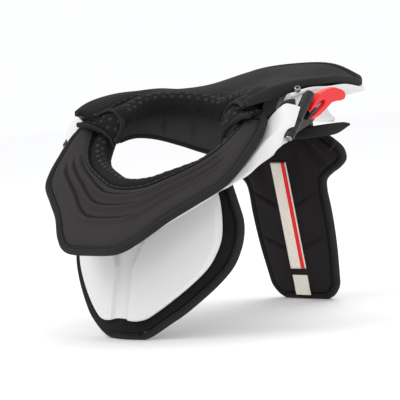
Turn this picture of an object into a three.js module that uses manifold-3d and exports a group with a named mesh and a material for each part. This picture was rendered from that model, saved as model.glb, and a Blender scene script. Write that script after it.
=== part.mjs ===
// Neck brace in millimetres, +Z up, the wearer facing -Y, the wearer's left on +X.
// The tables below are written with Y = 0 at the tips of the front collar and Z = 0 at the floor.
import * as THREE from "three";
import { mergeVertices } from "three/addons/utils/BufferGeometryUtils.js";
import Module from "manifold-3d";

const wasm = await Module();
wasm.setup();

// Sizes shared by several pieces
const CENTRE_Y = 41.57;
const GAP = 0.4;
const COLLAR_RISE = 0.93;
const COLLAR_HEIGHT = 183.5;
const COLLAR_THICK = 11;
const COLLAR_EDGE_THICK = 6.5;
const BINDING_WIDTH = 6;
const BINDING_THICK = 7;
const BINDING_RAISE = 0.4;
const COLLAR_LIP = 3.8;
const COLLAR_LIP_REACH = 0.14;
const FRONT_ROLL_RADIUS = 10.5;
const REAR_ROLL_RADIUS = 11.4;
const TABLE_BINDING_WIDTH = 5;
const TABLE_CROWN = 2.4;
const TABLE_SHOULDER = 1;
const SKIRT_THICK = 3.6;
const FRAME_THICK = 4;
const CHEST_PAD_THICK = 8;
const CHEST_PAD_BACK = 2;
const CHEST_PLATE_THICK = 3.6;
const PLATE_PROUD = 3;
const PLATE_RIM = 1;
const BACK_PAD_THICK = 11;
const BACK_PAD_LEAN = 0.215;
const BACK_PAD_FOOT_Y = 180;
const BACK_EDGE_STEP = 1.5;
const STRUT_THICK = 5;
const TAG_THICK = 0.8;
const FOOT_LEVEL = 0.7;
const LEAST_SQUARE = 0.4;

// How many sections each swept piece has from end to end
const SECTIONS = {
  collar: 27,
  collarBinding: 35,
  frontRoll: 27,
  hoop: 43,
  armCore: 7,
  chest: 12,
  chestBinding: 15,
  table: 27,
  tableBinding: 33,
  rearRoll: 25,
  skirt: 25,
  tongue: 9,
  tongueBinding: 11,
  frame: 31,
  shoulder: 11,
  backOutline: 24,
  backBinding: 18,
  loop: 9,
};
const ROLL_SIDES = 10;
const EDGE_SIDES = 6;

// Front collar: plan of the pad's inner and outer edge from the front centre to the tip, how far the
// neck roll's centre lies inside the inner edge and below the pad, its size, and the grooves' depth
const COLLAR = [
  { inner: [0, -60], outer: [0, -112.5], rollIn: 7.7, rollSink: 9, rollSize: 0.81, rib: 1 },
  { inner: [20, -58], outer: [29, -111], rollIn: 7.7, rollSink: 9.2, rollSize: 0.81, rib: 1 },
  { inner: [37, -52], outer: [46, -102], rollIn: 7.3, rollSink: 10.2, rollSize: 0.84, rib: 1 },
  { inner: [51, -46], outer: [65, -85], rollIn: 6.4, rollSink: 12.2, rollSize: 0.92, rib: 0.9 },
  { inner: [63, -40], outer: [85, -71], rollIn: 5.6, rollSink: 14, rollSize: 1, rib: 0.7 },
  { inner: [72.5, -33], outer: [103, -58], rollIn: 5.5, rollSink: 14, rollSize: 1, rib: 0.45 },
  { inner: [80, -25], outer: [110, -45], rollIn: 6, rollSink: 14, rollSize: 1, rib: 0.2 },
  { inner: [85, -17], outer: [112.5, -28], rollIn: 7, rollSink: 14, rollSize: 0.98, rib: 0 },
  { inner: [88.5, -10], outer: [113, -14], rollIn: 8, rollSink: 14.3, rollSize: 0.93, rib: 0 },
  { inner: [91, -5.5], outer: [110, -4], rollIn: 9, rollSink: 14.5, rollSize: 0.87, rib: 0 },
];
const COLLAR_GROOVES = [0.12, 0.32, 0.54];
const COLLAR_GROOVE_DEPTH = 2.4;
const COLLAR_GROOVE_HALF = 0.035;
const COLLAR_CROWN = 2.6;
const COLLAR_SHOULDER = 1.2;
const COLLAR_COLUMNS = [0, 0.05, 0.12, 0.19, 0.25, 0.32, 0.4, 0.46, 0.54, 0.63, 0.85, 1];

// White hoop and arm: the outer face by its upper edge, fold and lower edge, front centre to latch
const HOOP = [
  { top: [0, -68.5, 97], fold: [0, -79, 87], low: [0, -83.2, 83.1] },
  { top: [23.5, -66.5, 99], fold: [25.5, -77, 89], low: [26.2, -80.2, 86.1] },
  { top: [40, -58.5, 106], fold: [42, -68.5, 97], low: [42.5, -70.3, 95.2] },
  { top: [55, -49, 113.5], fold: [58, -57, 107], low: [58.6, -58.3, 105.9] },
  { top: [67.5, -43, 119], fold: [71.5, -48.5, 115], low: [72.1, -49.8, 114.3] },
  { top: [79.3, -39.5, 125.5], fold: [86, -43.5, 124], low: [85.6, -45.6, 122] },
  { top: [88.1, -34, 132], fold: [96.5, -37, 132.5], low: [95.2, -40.8, 125.6] },
  { top: [96, -28.2, 139.8], fold: [105.5, -29, 142], low: [103, -34, 131] },
  { top: [101, -21.5, 148], fold: [111.5, -20, 152.5], low: [111, -27, 138] },
  { top: [104.5, -15, 155], fold: [116, -11.8, 161.5], low: [117.5, -18.5, 145.4] },
  { top: [107.5, -5, 165.5], fold: [121.7, -5.3, 167.5], low: [123.5, -12, 151] },
  { top: [107.5, 4, 179], fold: [125.2, -2.2, 170.5], low: [126, -7, 155.2] },
  { top: [121, 7.3, 190.2], fold: [128.9, 0.8, 172.6], low: [128.3, -3.6, 158.4] },
  { top: [128.5, 10.5, 190], fold: [132.4, 2.8, 175.6], low: [130.4, -1.8, 160.6] },
  { top: [133.5, 14.5, 187.5], fold: [135.8, 6, 178.3], low: [132.2, 1, 163] },
];
const HOOP_DEPTH = { top: 3, fold: 7, low: 5 };

// Black band behind each arm's upper edge
const ARM_CORE = [
  { at: [114.4, 11], low: 185.5, high: 188.5 },
  { at: [118, 12.5], low: 184, high: 192.6 },
  { at: [123, 15], low: 183.5, high: 194.2 },
  { at: [126.5, 16.6], low: 184, high: 194 },
];
const ARM_CORE_HALF = 2;
const ARM_CORE_SIDE = [0.4, -0.917, 0];

// Chest plate and pad: half width at each height
const CHEST_LEAN = 0.25;
const CHEST_FOOT_Y = -82.8;
const CHEST_WRAP = 0.034;
const CHEST_CURL = 0.015;
const CHEST_CURL_FROM = 20;
const CHEST_PLATE = [
  { z: 16.5, half: 19, lift: 0 },
  { z: 18.5, half: 27, lift: 0 },
  { z: 24, half: 36, lift: 0 },
  { z: 33, half: 48, lift: 0 },
  { z: 45, half: 62, lift: 0 },
  { z: 58, half: 74, lift: 0 },
  { z: 68, half: 80, lift: 2 },
  { z: 78, half: 83, lift: 5 },
  { z: 88, half: 82, lift: 10 },
  { z: 96, half: 79, lift: 17 },
  { z: 103, half: 75, lift: 22 },
];
const CHEST_PAD = [
  { z: 0, half: 18, lift: 0 },
  { z: 1.5, half: 24, lift: 0 },
  { z: 5, half: 31, lift: 0 },
  { z: 12, half: 42, lift: 0 },
  { z: 20, half: 54, lift: 0 },
  { z: 32, half: 68, lift: 0 },
  { z: 45, half: 81, lift: 0 },
  { z: 58, half: 90.5, lift: 0 },
  { z: 70, half: 95, lift: 1 },
  { z: 80, half: 96.5, lift: 4 },
  { z: 89, half: 95, lift: 8 },
  { z: 97, half: 89.5, lift: 15 },
  { z: 104, half: 83.5, lift: 23 },
];
const CHEST_COLUMNS = [-1, -0.93, -0.75, -0.5, -0.3, -0.15, 0, 0.15, 0.3, 0.5, 0.75, 0.93, 1];
const CHEST_PAD_COLUMNS = [-1, -0.8, -0.4, 0, 0.4, 0.8, 1];
const VALLEY_DEPTH = 3.4;
const VALLEY_HALF = 9;
const VALLEY_FLARE = { from: 60, slope: 0.35 };
const FOOT_NOTCH = { rise: 3, half: 7 };

// Rear table: inner edge above the rear roll and outer edge, rear centre to front end
const TABLE = [
  { inner: [0, 88, 199.5], outer: [0, 192, 229], under: 9, edge: 9 },
  { inner: [25, 86, 204], outer: [45, 187, 226], under: 9, edge: 9 },
  { inner: [50, 78, 207], outer: [83, 172.5, 214], under: 9, edge: 9.5 },
  { inner: [68, 65, 208.5], outer: [102.5, 147.5, 210], under: 9, edge: 8 },
  { inner: [78, 50, 208], outer: [107.5, 115, 212.5], under: 9, edge: 7 },
  { inner: [82, 37, 205], outer: [109.5, 80, 212], under: 9, edge: 7 },
  { inner: [83, 24, 201], outer: [109, 50, 211], under: 8, edge: 7.5 },
  { inner: [82, 11, 196.5], outer: [108, 22, 207.5], under: 6, edge: 11 },
  { inner: [83, 0, 193], outer: [106, 2, 203], under: 4.5, edge: 9 },
  { inner: [88, -8, 191], outer: [103, -14, 197], under: 4, edge: 6 },
];
const TABLE_COLUMNS = [0, 0.06, 0.2, 0.4, 0.62, 0.85, 1];

// Rear neck roll and the skirt below it, rear centre to front end
const REAR_ROLL = [
  { at: [0, 75.5, 188.5], size: 1 },
  { at: [21, 74, 193], size: 1 },
  { at: [41, 68, 196], size: 1 },
  { at: [57, 57, 197], size: 1 },
  { at: [65.5, 45.5, 196], size: 1 },
  { at: [69.5, 34.5, 193], size: 1 },
  { at: [70.5, 24, 189], size: 1 },
  { at: [70.5, 15.5, 187], size: 0.98 },
  { at: [71.2, 9, 185.2], size: 0.68 },
  { at: [71.5, 6, 184], size: 0.26 },
];
const SKIRT = [
  { high: [0, 84, 179], low: [0, 87, 146] },
  { high: [25, 82, 183], low: [29, 83, 151] },
  { high: [50, 74, 186], low: [53, 74, 160] },
  { high: [67, 61, 186], low: [69, 61, 167] },
  { high: [76, 47, 184], low: [78, 47, 170] },
  { high: [80, 35, 180], low: [81, 35, 169.5] },
  { high: [81, 23, 175], low: [81.5, 23, 167] },
];
const SKIRT_COLUMNS = [0, 0.5, 1];
const SKIRT_BINDING = { width: 5.2, thick: 4.2, drop: 2.6 };
const NECK_MIDDLE_Y = 20;

// Rear tongue: its free front edge and its back edge, outer side to inner side
const TONGUE = [
  { front: [101, -15, 184], back: [102, 5, 187.5] },
  { front: [92, -14, 183.5], back: [93, 0, 186] },
  { front: [83, -11.5, 180], back: [84, 1, 187] },
  { front: [74, -9.5, 174.2], back: [75, 0.5, 192] },
  { front: [66.2, -8.5, 166.8], back: [64, 3, 187.5] },
  { front: [63.5, -7, 159.5], back: [61, 0.5, 175.5] },
];
const TONGUE_THICK = 3.2;
const TONGUE_STEPS = [0.27, 0.5, 0.75, 1];
const TONGUE_BINDING = { at: 0.1, half: 1.8, proud: 0.7, squareness: 0.8 };

// Rear frame: rim, waist and foot flange, rear centre to the front end beside the latch
const FRAME = [
  { rim: [0, 195, 215.5], waist: [0, 162, 196], foot: [0, 160, 177] },
  { rim: [46, 189.5, 212.5], waist: [38, 158, 195], foot: [40, 158, 176] },
  { rim: [85, 174, 200], waist: [62, 143, 190], foot: [67, 150, 174.5] },
  { rim: [104.5, 148.5, 197.8], waist: [74, 123, 186], foot: [78, 138, 174] },
  { rim: [109.5, 117, 201], waist: [84, 100, 187], foot: [82, 112, 175] },
  { rim: [112, 88, 200], waist: [92, 78, 189], foot: [88, 82, 179] },
  { rim: [115, 66, 200], waist: [99, 62, 193], foot: [95, 63, 186] },
  { rim: [119.5, 46, 199], waist: [106, 45, 194], foot: [102, 46, 189] },
  { rim: [120.5, 31, 196.3], waist: [111, 31, 193.5], foot: [107, 32, 190] },
  { rim: [118.5, 23.5, 195], waist: [112, 25, 193], foot: [109, 26, 191] },
];
const FRAME_SHELF = { share: 0.55, rise: 1.5 };
const FRAME_FLARE = { share: 0.6, rise: -1 };
// How far the shell's inner face lies above its outer one, rim to foot, as a share of its thickness
const FRAME_LIFT = [0.95, 0.85, 0, -0.6, -0.85];

// Shoulder pad: front and back edge from the middle of the back out to the tip
const SHOULDER = [
  { front: [24, 101], back: [24, 140], high: 166, low: 158 },
  { front: [40, 101.5], back: [40, 142], high: 166.5, low: 157.5 },
  { front: [56, 105], back: [54, 145], high: 167.5, low: 157.5 },
  { front: [68, 112], back: [64, 147.5], high: 168.5, low: 158 },
  { front: [76, 124], back: [73, 150], high: 169.5, low: 159.5 },
  { front: [80, 138], back: [79, 152], high: 170, low: 163 },
  { front: [83, 150], back: [82, 154], high: 169, low: 166 },
];
const SHOULDER_COLUMNS = [0, 0.12, 0.5, 0.88, 1];
const SHOULDER_SWELL = 0.8;

// Back pad: half width at each height
const BACK_PAD = [
  { z: 0, half: 25 },
  { z: 3, half: 31 },
  { z: 8, half: 36 },
  { z: 15, half: 40 },
  { z: 28, half: 42 },
  { z: 48, half: 44.5 },
  { z: 68, half: 46 },
  { z: 88, half: 46.5 },
  { z: 106, half: 46 },
  { z: 116, half: 48 },
  { z: 122, half: 55.5 },
  { z: 128, half: 66.5 },
  { z: 134, half: 73.5 },
  { z: 140, half: 75 },
  { z: 147, half: 73 },
  { z: 154, half: 66 },
  { z: 161, half: 56 },
];
// Rows of the back pad's face: level between foot and top, slope of the vee and groove depth
const BACK_ROWS = [
  { level: 0, vee: 0, groove: 0 },
  { level: 0.02, vee: 0.05, groove: 0 },
  { level: 0.06, vee: 0.15, groove: 0 },
  { level: 0.12, vee: 0.28, groove: 0 },
  { level: 0.2, vee: 0.4, groove: 0 },
  { level: 0.27, vee: 0.45, groove: 0 },
  { level: 0.29, vee: 0.45, groove: 2.2 },
  { level: 0.31, vee: 0.45, groove: 0 },
  { level: 0.42, vee: 0.5, groove: 0 },
  { level: 0.535, vee: 0.52, groove: 0 },
  { level: 0.555, vee: 0.52, groove: 2.2 },
  { level: 0.575, vee: 0.52, groove: 0 },
  { level: 0.64, vee: 0.42, groove: 0 },
  { level: 0.7, vee: 0.32, groove: 0 },
  { level: 0.76, vee: 0.24, groove: 0 },
  { level: 0.82, vee: 0.16, groove: 0 },
  { level: 0.88, vee: 0.1, groove: 0 },
  { level: 0.94, vee: 0.04, groove: 0 },
  { level: 1, vee: 0, groove: 0 },
];
const BACK_COLUMNS = [-1, -0.88, -0.5, 0, 0.5, 0.88, 1];

// Strut behind the back pad: half width at each height
const BACK_STRUT = [
  { z: 30, half: 24 },
  { z: 36, half: 30 },
  { z: 120, half: 34 },
  { z: 171, half: 38 },
];

// Keeper loop at the top of the back pad
const LOOP_BAND = { width: 1.8, thick: 8, up: [0.6, -0.8, 0] };
const LOOP = [
  { at: [65.5, 145.5, 156.3] },
  { at: [70.5, 143.5, 155] },
  { at: [72.3, 142.5, 151.5] },
  { at: [70.5, 142.5, 147.5] },
  { at: [65.5, 144, 144.5] },
];

// Tags on the back pad
const LONG_TAG = { bottom: 30, top: 135, half: 9.5 };
const SMALL_TAG = { bottom: 4, top: 24, half: 9 };

// Latch: a flat frame through the hinge pin on the arm's end. Outlines are [along the pin, behind it]
const LATCH_FOOT = new THREE.Vector3(131, -0.32, 162.26);
const LATCH_HEAD = new THREE.Vector3(130, 33.44, 198.06);
const LATCH_FACE = new THREE.Vector3(0.985, 0.137, -0.101).normalize();
const PIN_RADIUS = 1.7;
const PIN_CAP_RADIUS = 2.8;
const PIN_CAP_LENGTH = 1.6;
const BARREL_RADIUS = 4.2;
const PLAY = 0.4;
const ARM_LUG = [5, 18.5];
const LINK_SPAN = [0.5, 49];
const LINK_FACE = [-6.4, -1.8];
const LINK_OUTLINE = [
  [2, 0],
  [4.5, 5],
  [22, 14.8],
  [36.9, 24.2],
  [43, 25.4],
  [48, 22.5],
  [50.5, 17],
  [57, 15],
  [57.8, 10.6],
  [53, 2.5],
  [48.5, 0],
];
const LINK_MIDDLE = [30, 11];
const LINK_GROWTH = 1.07;
const LINK_TONGUE = [
  [27, 7],
  [34, 7.8],
  [41, 9.6],
  [43.6, 10.8],
  [43.4, 14.6],
  [39, 13.3],
  [32.4, 9.8],
  [27, 8.8],
];
const LINK_TONGUE_TOP = 4.4;
const LEVER_FACE = [-0.6, 4.8];
const LEVER_PIVOT = [35.2, 10];
const LEVER_AXIS = [-0.5, 0.866];
const LEVER_PIVOT_HEIGHT = 2.1;
const LEVER_PIN_RADIUS = 1;
const LEVER_PIN_REACH = [-3.8, 4.2];
const LEVER_OUTLINE = [
  [35, 5.2],
  [42, 5.6],
  [55.3, 7],
  [67, 14.9],
  [76.5, 23],
  [83.7, 33.9],
  [85.9, 39],
  [85.5, 43],
  [82.1, 44.2],
  [77.3, 41.2],
  [70.9, 34.6],
  [64.1, 28.8],
  [53, 24.9],
  [42.6, 20.4],
  [36, 16.4],
  [30.8, 12.5],
  [32, 10.4],
  [39, 14],
  [47, 17.2],
  [54.5, 19.9],
  [57, 18.3],
  [56.5, 15.7],
  [49, 11.6],
  [41, 8.9],
  [34.5, 6.1],
];
const ADJUSTER = { from: [44.2, 13], to: [54, 17.6], radius: 1.2, height: 1.6 };
const FRAME_SCREW = {
  at: [118.8, 31, 201.4],
  axis: [0.5, -0.55, 0.67],
  radius: 2.9,
  length: 3,
  socket: 1.6,
  socketDepth: 1.8,
};

// Straight blend of two points
function mix(a, b, t) {
  return a.map((value, i) => value + (b[i] - value) * t);
}

function add(a, b, scale = 1) {
  return a.map((value, i) => value + b[i] * scale);
}

function cross(a, b) {
  return [a[1] * b[2] - a[2] * b[1], a[2] * b[0] - a[0] * b[2], a[0] * b[1] - a[1] * b[0]];
}

function unit(a) {
  const length = Math.hypot(...a);
  return a.map((value) => value / length);
}

// Smooth curve through four neighbouring values
function smooth(p, t) {
  const [a, b, c, d] = p;
  const slopeStart = (c - a) / 2;
  const slopeEnd = (d - b) / 2;
  const t2 = t * t;
  const t3 = t2 * t;
  return (
    (2 * t3 - 3 * t2 + 1) * b +
    (t3 - 2 * t2 + t) * slopeStart +
    (-2 * t3 + 3 * t2) * c +
    (t3 - t2) * slopeEnd
  );
}

// One row of a table between its rows: every number and point in it is a smooth curve of u
function rowAt(rows, u) {
  const last = rows.length - 1;
  const place = Math.min(Math.max(u, 0), 1) * last;
  const index = Math.min(Math.floor(place), last - 1);
  const near = [-1, 0, 1, 2].map((k) => rows[Math.min(Math.max(index + k, 0), last)]);
  const t = place - index;
  const row = {};
  for (const key of Object.keys(rows[0])) {
    const isPoint = Array.isArray(rows[0][key]);
    row[key] = isPoint
      ? rows[0][key].map((_, axis) => smooth(near.map((r) => r[key][axis]), t))
      : smooth(near.map((r) => r[key]), t);
  }
  return row;
}

// A table of one half made whole by mirroring it in X about its first row
function whole(rows) {
  const mirrored = rows.slice(1).map((row) => {
    const copy = {};
    for (const [key, value] of Object.entries(row)) {
      copy[key] = Array.isArray(value) ? [-value[0], ...value.slice(1)] : value;
    }
    return copy;
  });
  return [...mirrored.reverse(), ...rows];
}

function stations(rows, count) {
  return Array.from({ length: count }, (_, i) => rowAt(rows, i / (count - 1)));
}

function signedVolume(points, faces) {
  let sum = 0;
  for (const [a, b, c] of faces) {
    const n = cross(points[b], points[c]);
    sum += points[a][0] * n[0] + points[a][1] * n[1] + points[a][2] * n[2];
  }
  return sum;
}

// Closed surface from points and triangles, turned so that it faces out
function solid(points, faces) {
  const outward = signedVolume(points, faces) > 0 ? faces : faces.map(([a, b, c]) => [a, c, b]);
  const geometry = new THREE.BufferGeometry();
  geometry.setAttribute("position", new THREE.Float32BufferAttribute(points.flat(), 3));
  geometry.setIndex(outward.flat());
  return geometry;
}

// Padded sheet between an upper and a lower grid of points of the same shape
function slab(upper, lower) {
  const rows = upper.length;
  const columns = upper[0].length;
  const points = [...upper.flat(), ...lower.flat()];
  const under = rows * columns;
  const faces = [];
  const quad = (a, b, c, d) => faces.push([a, b, c], [a, c, d]);
  for (let i = 0; i + 1 < rows; i++) {
    for (let j = 0; j + 1 < columns; j++) {
      const a = i * columns + j;
      quad(a, a + 1, a + columns + 1, a + columns);
      quad(under + a, under + a + columns, under + a + columns + 1, under + a + 1);
    }
    const first = i * columns;
    const final = first + columns - 1;
    quad(first, first + columns, under + first + columns, under + first);
    quad(final, under + final, under + final + columns, final + columns);
  }
  const end = (rows - 1) * columns;
  for (let j = 0; j + 1 < columns; j++) {
    quad(j, under + j, under + j + 1, j + 1);
    quad(end + j, end + j + 1, under + end + j + 1, under + end + j);
  }
  return solid(points, faces);
}

// Bar with closed ends through rings of points of the same count
function bar(rings) {
  const count = rings[0].length;
  const points = rings.flat();
  const faces = [];
  for (let i = 0; i + 1 < rings.length; i++) {
    for (let k = 0; k < count; k++) {
      const a = i * count + k;
      const b = i * count + ((k + 1) % count);
      faces.push([a, b, b + count], [a, b + count, a + count]);
    }
  }
  const end = (rings.length - 1) * count;
  for (let k = 1; k + 1 < count; k++) {
    faces.push([0, k + 1, k], [end, end + k, end + k + 1]);
  }
  return solid(points, faces);
}

// Ring of points round a centre in the plane of two directions
function ringAt(centre, across, up, halfWidth, halfHeight, count, squareness = 1) {
  return Array.from({ length: count }, (_, k) => {
    const angle = ((k + 0.5) / count) * 2 * Math.PI;
    const c = Math.cos(angle);
    const s = Math.sin(angle);
    const x = Math.sign(c) * Math.abs(c) ** squareness * halfWidth;
    const y = Math.sign(s) * Math.abs(s) ** squareness * halfHeight;
    return add(add(centre, across, x), up, y);
  });
}

function tangentAt(path, i) {
  const before = path[Math.max(i - 1, 0)];
  const after = path[Math.min(i + 1, path.length - 1)];
  return unit(add(after, before, -1));
}

// Bound edge along a path: up is the pad's own upward direction at each point. The ring has a flat at
// each side, exactly half the width from the path
const EDGE_SQUARENESS = 0.7;
const EDGE_FLAT = Math.cos(Math.PI / 6) ** EDGE_SQUARENESS;

function edging(path, up, width, thick) {
  const rings = path.map((point, i) => {
    const across = unit(cross(tangentAt(path, i), up));
    return ringAt(point, across, up, width / 2 / EDGE_FLAT, thick / 2, EDGE_SIDES, EDGE_SQUARENESS);
  });
  return bar(rings);
}

// Joins and cuts
function toManifold(geometry) {
  const bare = new THREE.BufferGeometry();
  bare.setAttribute("position", geometry.getAttribute("position").clone());
  if (geometry.index) {
    bare.setIndex(geometry.index.clone());
  }
  const merged = mergeVertices(bare, 1e-4);
  const mesh = new wasm.Mesh({
    numProp: 3,
    vertProperties: merged.attributes.position.array,
    triVerts: new Uint32Array(merged.index.array),
  });
  return new wasm.Manifold(mesh);
}

function fromManifold(body) {
  const mesh = body.getMesh();
  const geometry = new THREE.BufferGeometry();
  geometry.setAttribute("position", new THREE.BufferAttribute(mesh.vertProperties, 3));
  geometry.setIndex(new THREE.BufferAttribute(mesh.triVerts, 1));
  return geometry;
}

function combine(base, joined, cut) {
  let body = toManifold(base);
  for (const extra of joined) {
    body = body.add(toManifold(extra));
  }
  for (const tool of cut) {
    body = body.subtract(toManifold(tool));
  }
  return fromManifold(body);
}

// Round bar between two points
function rod(from, to, radius, sides = 10) {
  const direction = to.clone().sub(from);
  const geometry = new THREE.CylinderGeometry(radius, radius, direction.length(), sides);
  const turn = new THREE.Quaternion();
  turn.setFromUnitVectors(new THREE.Vector3(0, 1, 0), direction.clone().normalize());
  geometry.applyQuaternion(turn);
  const middle = from.clone().add(to).multiplyScalar(0.5);
  geometry.translate(middle.x, middle.y, middle.z);
  return geometry;
}

// The assembly
const brace = new THREE.Group();
brace.name = "neck_brace";
brace.position.y = -CENTRE_Y;

const finish = (color, roughness, metalness = 0) => ({ color, roughness, metalness });
const FABRIC = finish(0x2b292a, 0.9);
const ROLL_FABRIC = finish(0x1d1d1e, 0.92);
const BINDING = finish(0x26282a, 0.85);
const WHITE_PLASTIC = finish(0xeeeeea, 0.25);
const BLACK_PLASTIC = finish(0x202122, 0.4);
const RED_PLASTIC = finish(0xd92a30, 0.35);
const STEEL = finish(0xb9bab8, 0.25, 1);
const TAG_CLOTH = finish(0xe6e2d4, 0.8);

function piece(name, geometry, look) {
  const mesh = new THREE.Mesh(geometry, new THREE.MeshStandardMaterial(look));
  mesh.name = name;
  brace.add(mesh);
}

function mirrorX(geometry) {
  const copy = geometry.index ? geometry.toNonIndexed() : geometry.clone();
  const position = copy.getAttribute("position");
  const turned = new THREE.BufferGeometry();
  const values = new Float32Array(position.count * 3);
  for (let i = 0; i < position.count; i += 3) {
    [0, 2, 1].forEach((from, to) => {
      values[(i + to) * 3] = -position.getX(i + from);
      values[(i + to) * 3 + 1] = position.getY(i + from);
      values[(i + to) * 3 + 2] = position.getZ(i + from);
    });
  }
  turned.setAttribute("position", new THREE.BufferAttribute(values, 3));
  return turned;
}

function pieces(name, geometry, look) {
  piece(name + "_left", geometry, look);
  piece(name + "_right", mirrorX(geometry), look);
}

// Front collar pad: a sloping plane with a crowned, grooved upper face
const COLLAR_UP = unit([0, -COLLAR_RISE, 1]);

function onCollar(point) {
  return [point[0], point[1], COLLAR_HEIGHT + COLLAR_RISE * point[1]];
}

function collarTop(v, rib) {
  const crown = COLLAR_CROWN * (1 - (2 * v - 1) ** 4) - COLLAR_SHOULDER;
  const near = (at) => Math.exp(-(((v - at) / COLLAR_GROOVE_HALF) ** 2));
  const grooves = COLLAR_GROOVES.reduce((sum, at) => sum + near(at), 0);
  return crown - COLLAR_GROOVE_DEPTH * rib * grooves;
}

function collarBottom(v) {
  const body = COLLAR_THICK - (COLLAR_THICK - COLLAR_EDGE_THICK) * v ** 2;
  const lip = COLLAR_LIP + (COLLAR_THICK - COLLAR_LIP) * Math.min(1, v / COLLAR_LIP_REACH);
  return -Math.min(body, lip);
}

// Share of the way from the outer edge back to the inner one that a band of a given width takes,
// measured square to the outline
function bandShare(inner, outer, tangent, width) {
  const span = add(outer, inner, -1);
  const length = Math.hypot(...span);
  const square = Math.hypot(...cross(unit(span), tangent));
  return width / (length * Math.max(square, LEAST_SQUARE));
}

function collarEdges(count) {
  const rows = stations(whole(COLLAR), count);
  const outline = rows.map((row) => onCollar(row.outer));
  return rows.map((row, i) => ({
    inner: onCollar(row.inner),
    outer: outline[i],
    tangent: tangentAt(outline, i),
    rib: row.rib,
  }));
}

function collarPad() {
  const rows = collarEdges(SECTIONS.collar);
  const span = (row, v) => {
    const start = bandShare(row.inner, row.outer, row.tangent, GAP);
    const end = 1 - bandShare(row.inner, row.outer, row.tangent, BINDING_WIDTH + 2 * GAP);
    return mix(row.inner, row.outer, start + (end - start) * v);
  };
  const line = (row, height) => COLLAR_COLUMNS.map((v) => add(span(row, v), COLLAR_UP, height(v, row.rib)));
  const grid = (height) => rows.map((row) => line(row, height));
  return slab(grid(collarTop), grid(collarBottom));
}

function collarBinding() {
  const rows = collarEdges(SECTIONS.collarBinding);
  const path = rows.map((row) => {
    const middle = 1 - bandShare(row.inner, row.outer, row.tangent, BINDING_WIDTH / 2);
    return add(mix(row.inner, row.outer, middle), COLLAR_UP, BINDING_RAISE - BINDING_THICK / 2);
  });
  return edging(path, COLLAR_UP, BINDING_WIDTH, BINDING_THICK);
}

// Perforated rolls round the neck
function frontRollLine(count) {
  const rows = stations(whole(COLLAR), count);
  const edge = rows.map((row) => onCollar(row.inner));
  return rows.map((row, i) => {
    const inward = unit(cross(COLLAR_UP, tangentAt(edge, i)));
    const at = add(add(edge[i], inward, row.rollIn), COLLAR_UP, -row.rollSink);
    return { at, size: row.rollSize };
  });
}

function roll(line, radius, sides) {
  const path = line.map((row) => row.at);
  const rings = line.map((row, i) => {
    const tangent = tangentAt(path, i);
    const across = unit(cross(tangent, [0, 0, 1]));
    const up = unit(cross(across, tangent));
    return ringAt(row.at, across, up, radius * row.size, radius * row.size, sides);
  });
  return bar(rings);
}

function frontRoll() {
  return roll(frontRollLine(SECTIONS.frontRoll), FRONT_ROLL_RADIUS, ROLL_SIDES);
}

function rearRoll() {
  return roll(stations(whole(REAR_ROLL), SECTIONS.rearRoll), REAR_ROLL_RADIUS, ROLL_SIDES);
}

// Latch frame helpers
const LATCH_ALONG = LATCH_HEAD.clone().sub(LATCH_FOOT).normalize();
const LATCH_BEHIND = LATCH_ALONG.clone().cross(LATCH_FACE).normalize();
const LATCH_OUT = LATCH_BEHIND.clone().cross(LATCH_ALONG);

function inLatch([along, behind], out = 0) {
  return LATCH_FOOT.clone()
    .addScaledVector(LATCH_ALONG, along)
    .addScaledVector(LATCH_BEHIND, behind)
    .addScaledVector(LATCH_OUT, out);
}

function onPin(along) {
  return inLatch([along, 0]);
}

// Flat plate in the latch frame between two heights above it
function latchPlate(outline, [low, high]) {
  const shape = new THREE.Shape(outline.map(([along, behind]) => new THREE.Vector2(behind, along)));
  const geometry = new THREE.ExtrudeGeometry(shape, { depth: high - low, bevelEnabled: false });
  geometry.translate(0, 0, low);
  const frame = new THREE.Matrix4().makeBasis(LATCH_BEHIND, LATCH_ALONG, LATCH_OUT);
  frame.setPosition(LATCH_FOOT);
  return geometry.applyMatrix4(frame);
}

// White hoop with its two arms
function onBothSides(list) {
  return [...list, ...list.map(mirrorX)];
}

// Room for the link's barrel above and below the arm's own lug
function barrelSpace() {
  const [lugStart, lugEnd] = ARM_LUG;
  const below = rod(onPin(lugStart - 12), onPin(lugStart - PLAY), BARREL_RADIUS + PLAY);
  const above = rod(onPin(lugEnd + PLAY), onPin(LINK_SPAN[1] + 8), BARREL_RADIUS + PLAY);
  return [below, above];
}

// Room for the link's plate behind the arm's end
function linkSpace() {
  const [middleAlong, middleBehind] = LINK_MIDDLE;
  const grown = LINK_OUTLINE.map(([along, behind]) => [
    middleAlong + (along - middleAlong) * LINK_GROWTH,
    middleBehind + (behind - middleBehind) * LINK_GROWTH,
  ]);
  return latchPlate(grown, [LINK_FACE[0] - 2 * PLAY, LINK_FACE[1] + 2 * PLAY]);
}

function fitArmEnds(geometry) {
  const [lugStart, lugEnd] = ARM_LUG;
  const lug = rod(onPin(lugStart), onPin(lugEnd), BARREL_RADIUS);
  const bore = rod(onPin(lugStart - 4), onPin(lugEnd + 4), PIN_RADIUS + PLAY);
  const cleared = combine(geometry, [], onBothSides([...barrelSpace(), linkSpace()]));
  return combine(cleared, onBothSides([lug]), onBothSides([bore]));
}

// Latch link, its pin, the lever and the small metal parts
function leverAxisAt(reach) {
  const [along, behind] = LEVER_PIVOT;
  return inLatch([along + LEVER_AXIS[0] * reach, behind + LEVER_AXIS[1] * reach], LEVER_PIVOT_HEIGHT);
}

function leverBore() {
  return rod(leverAxisAt(-12), leverAxisAt(12), LEVER_PIN_RADIUS + PLAY, 10);
}

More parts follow.
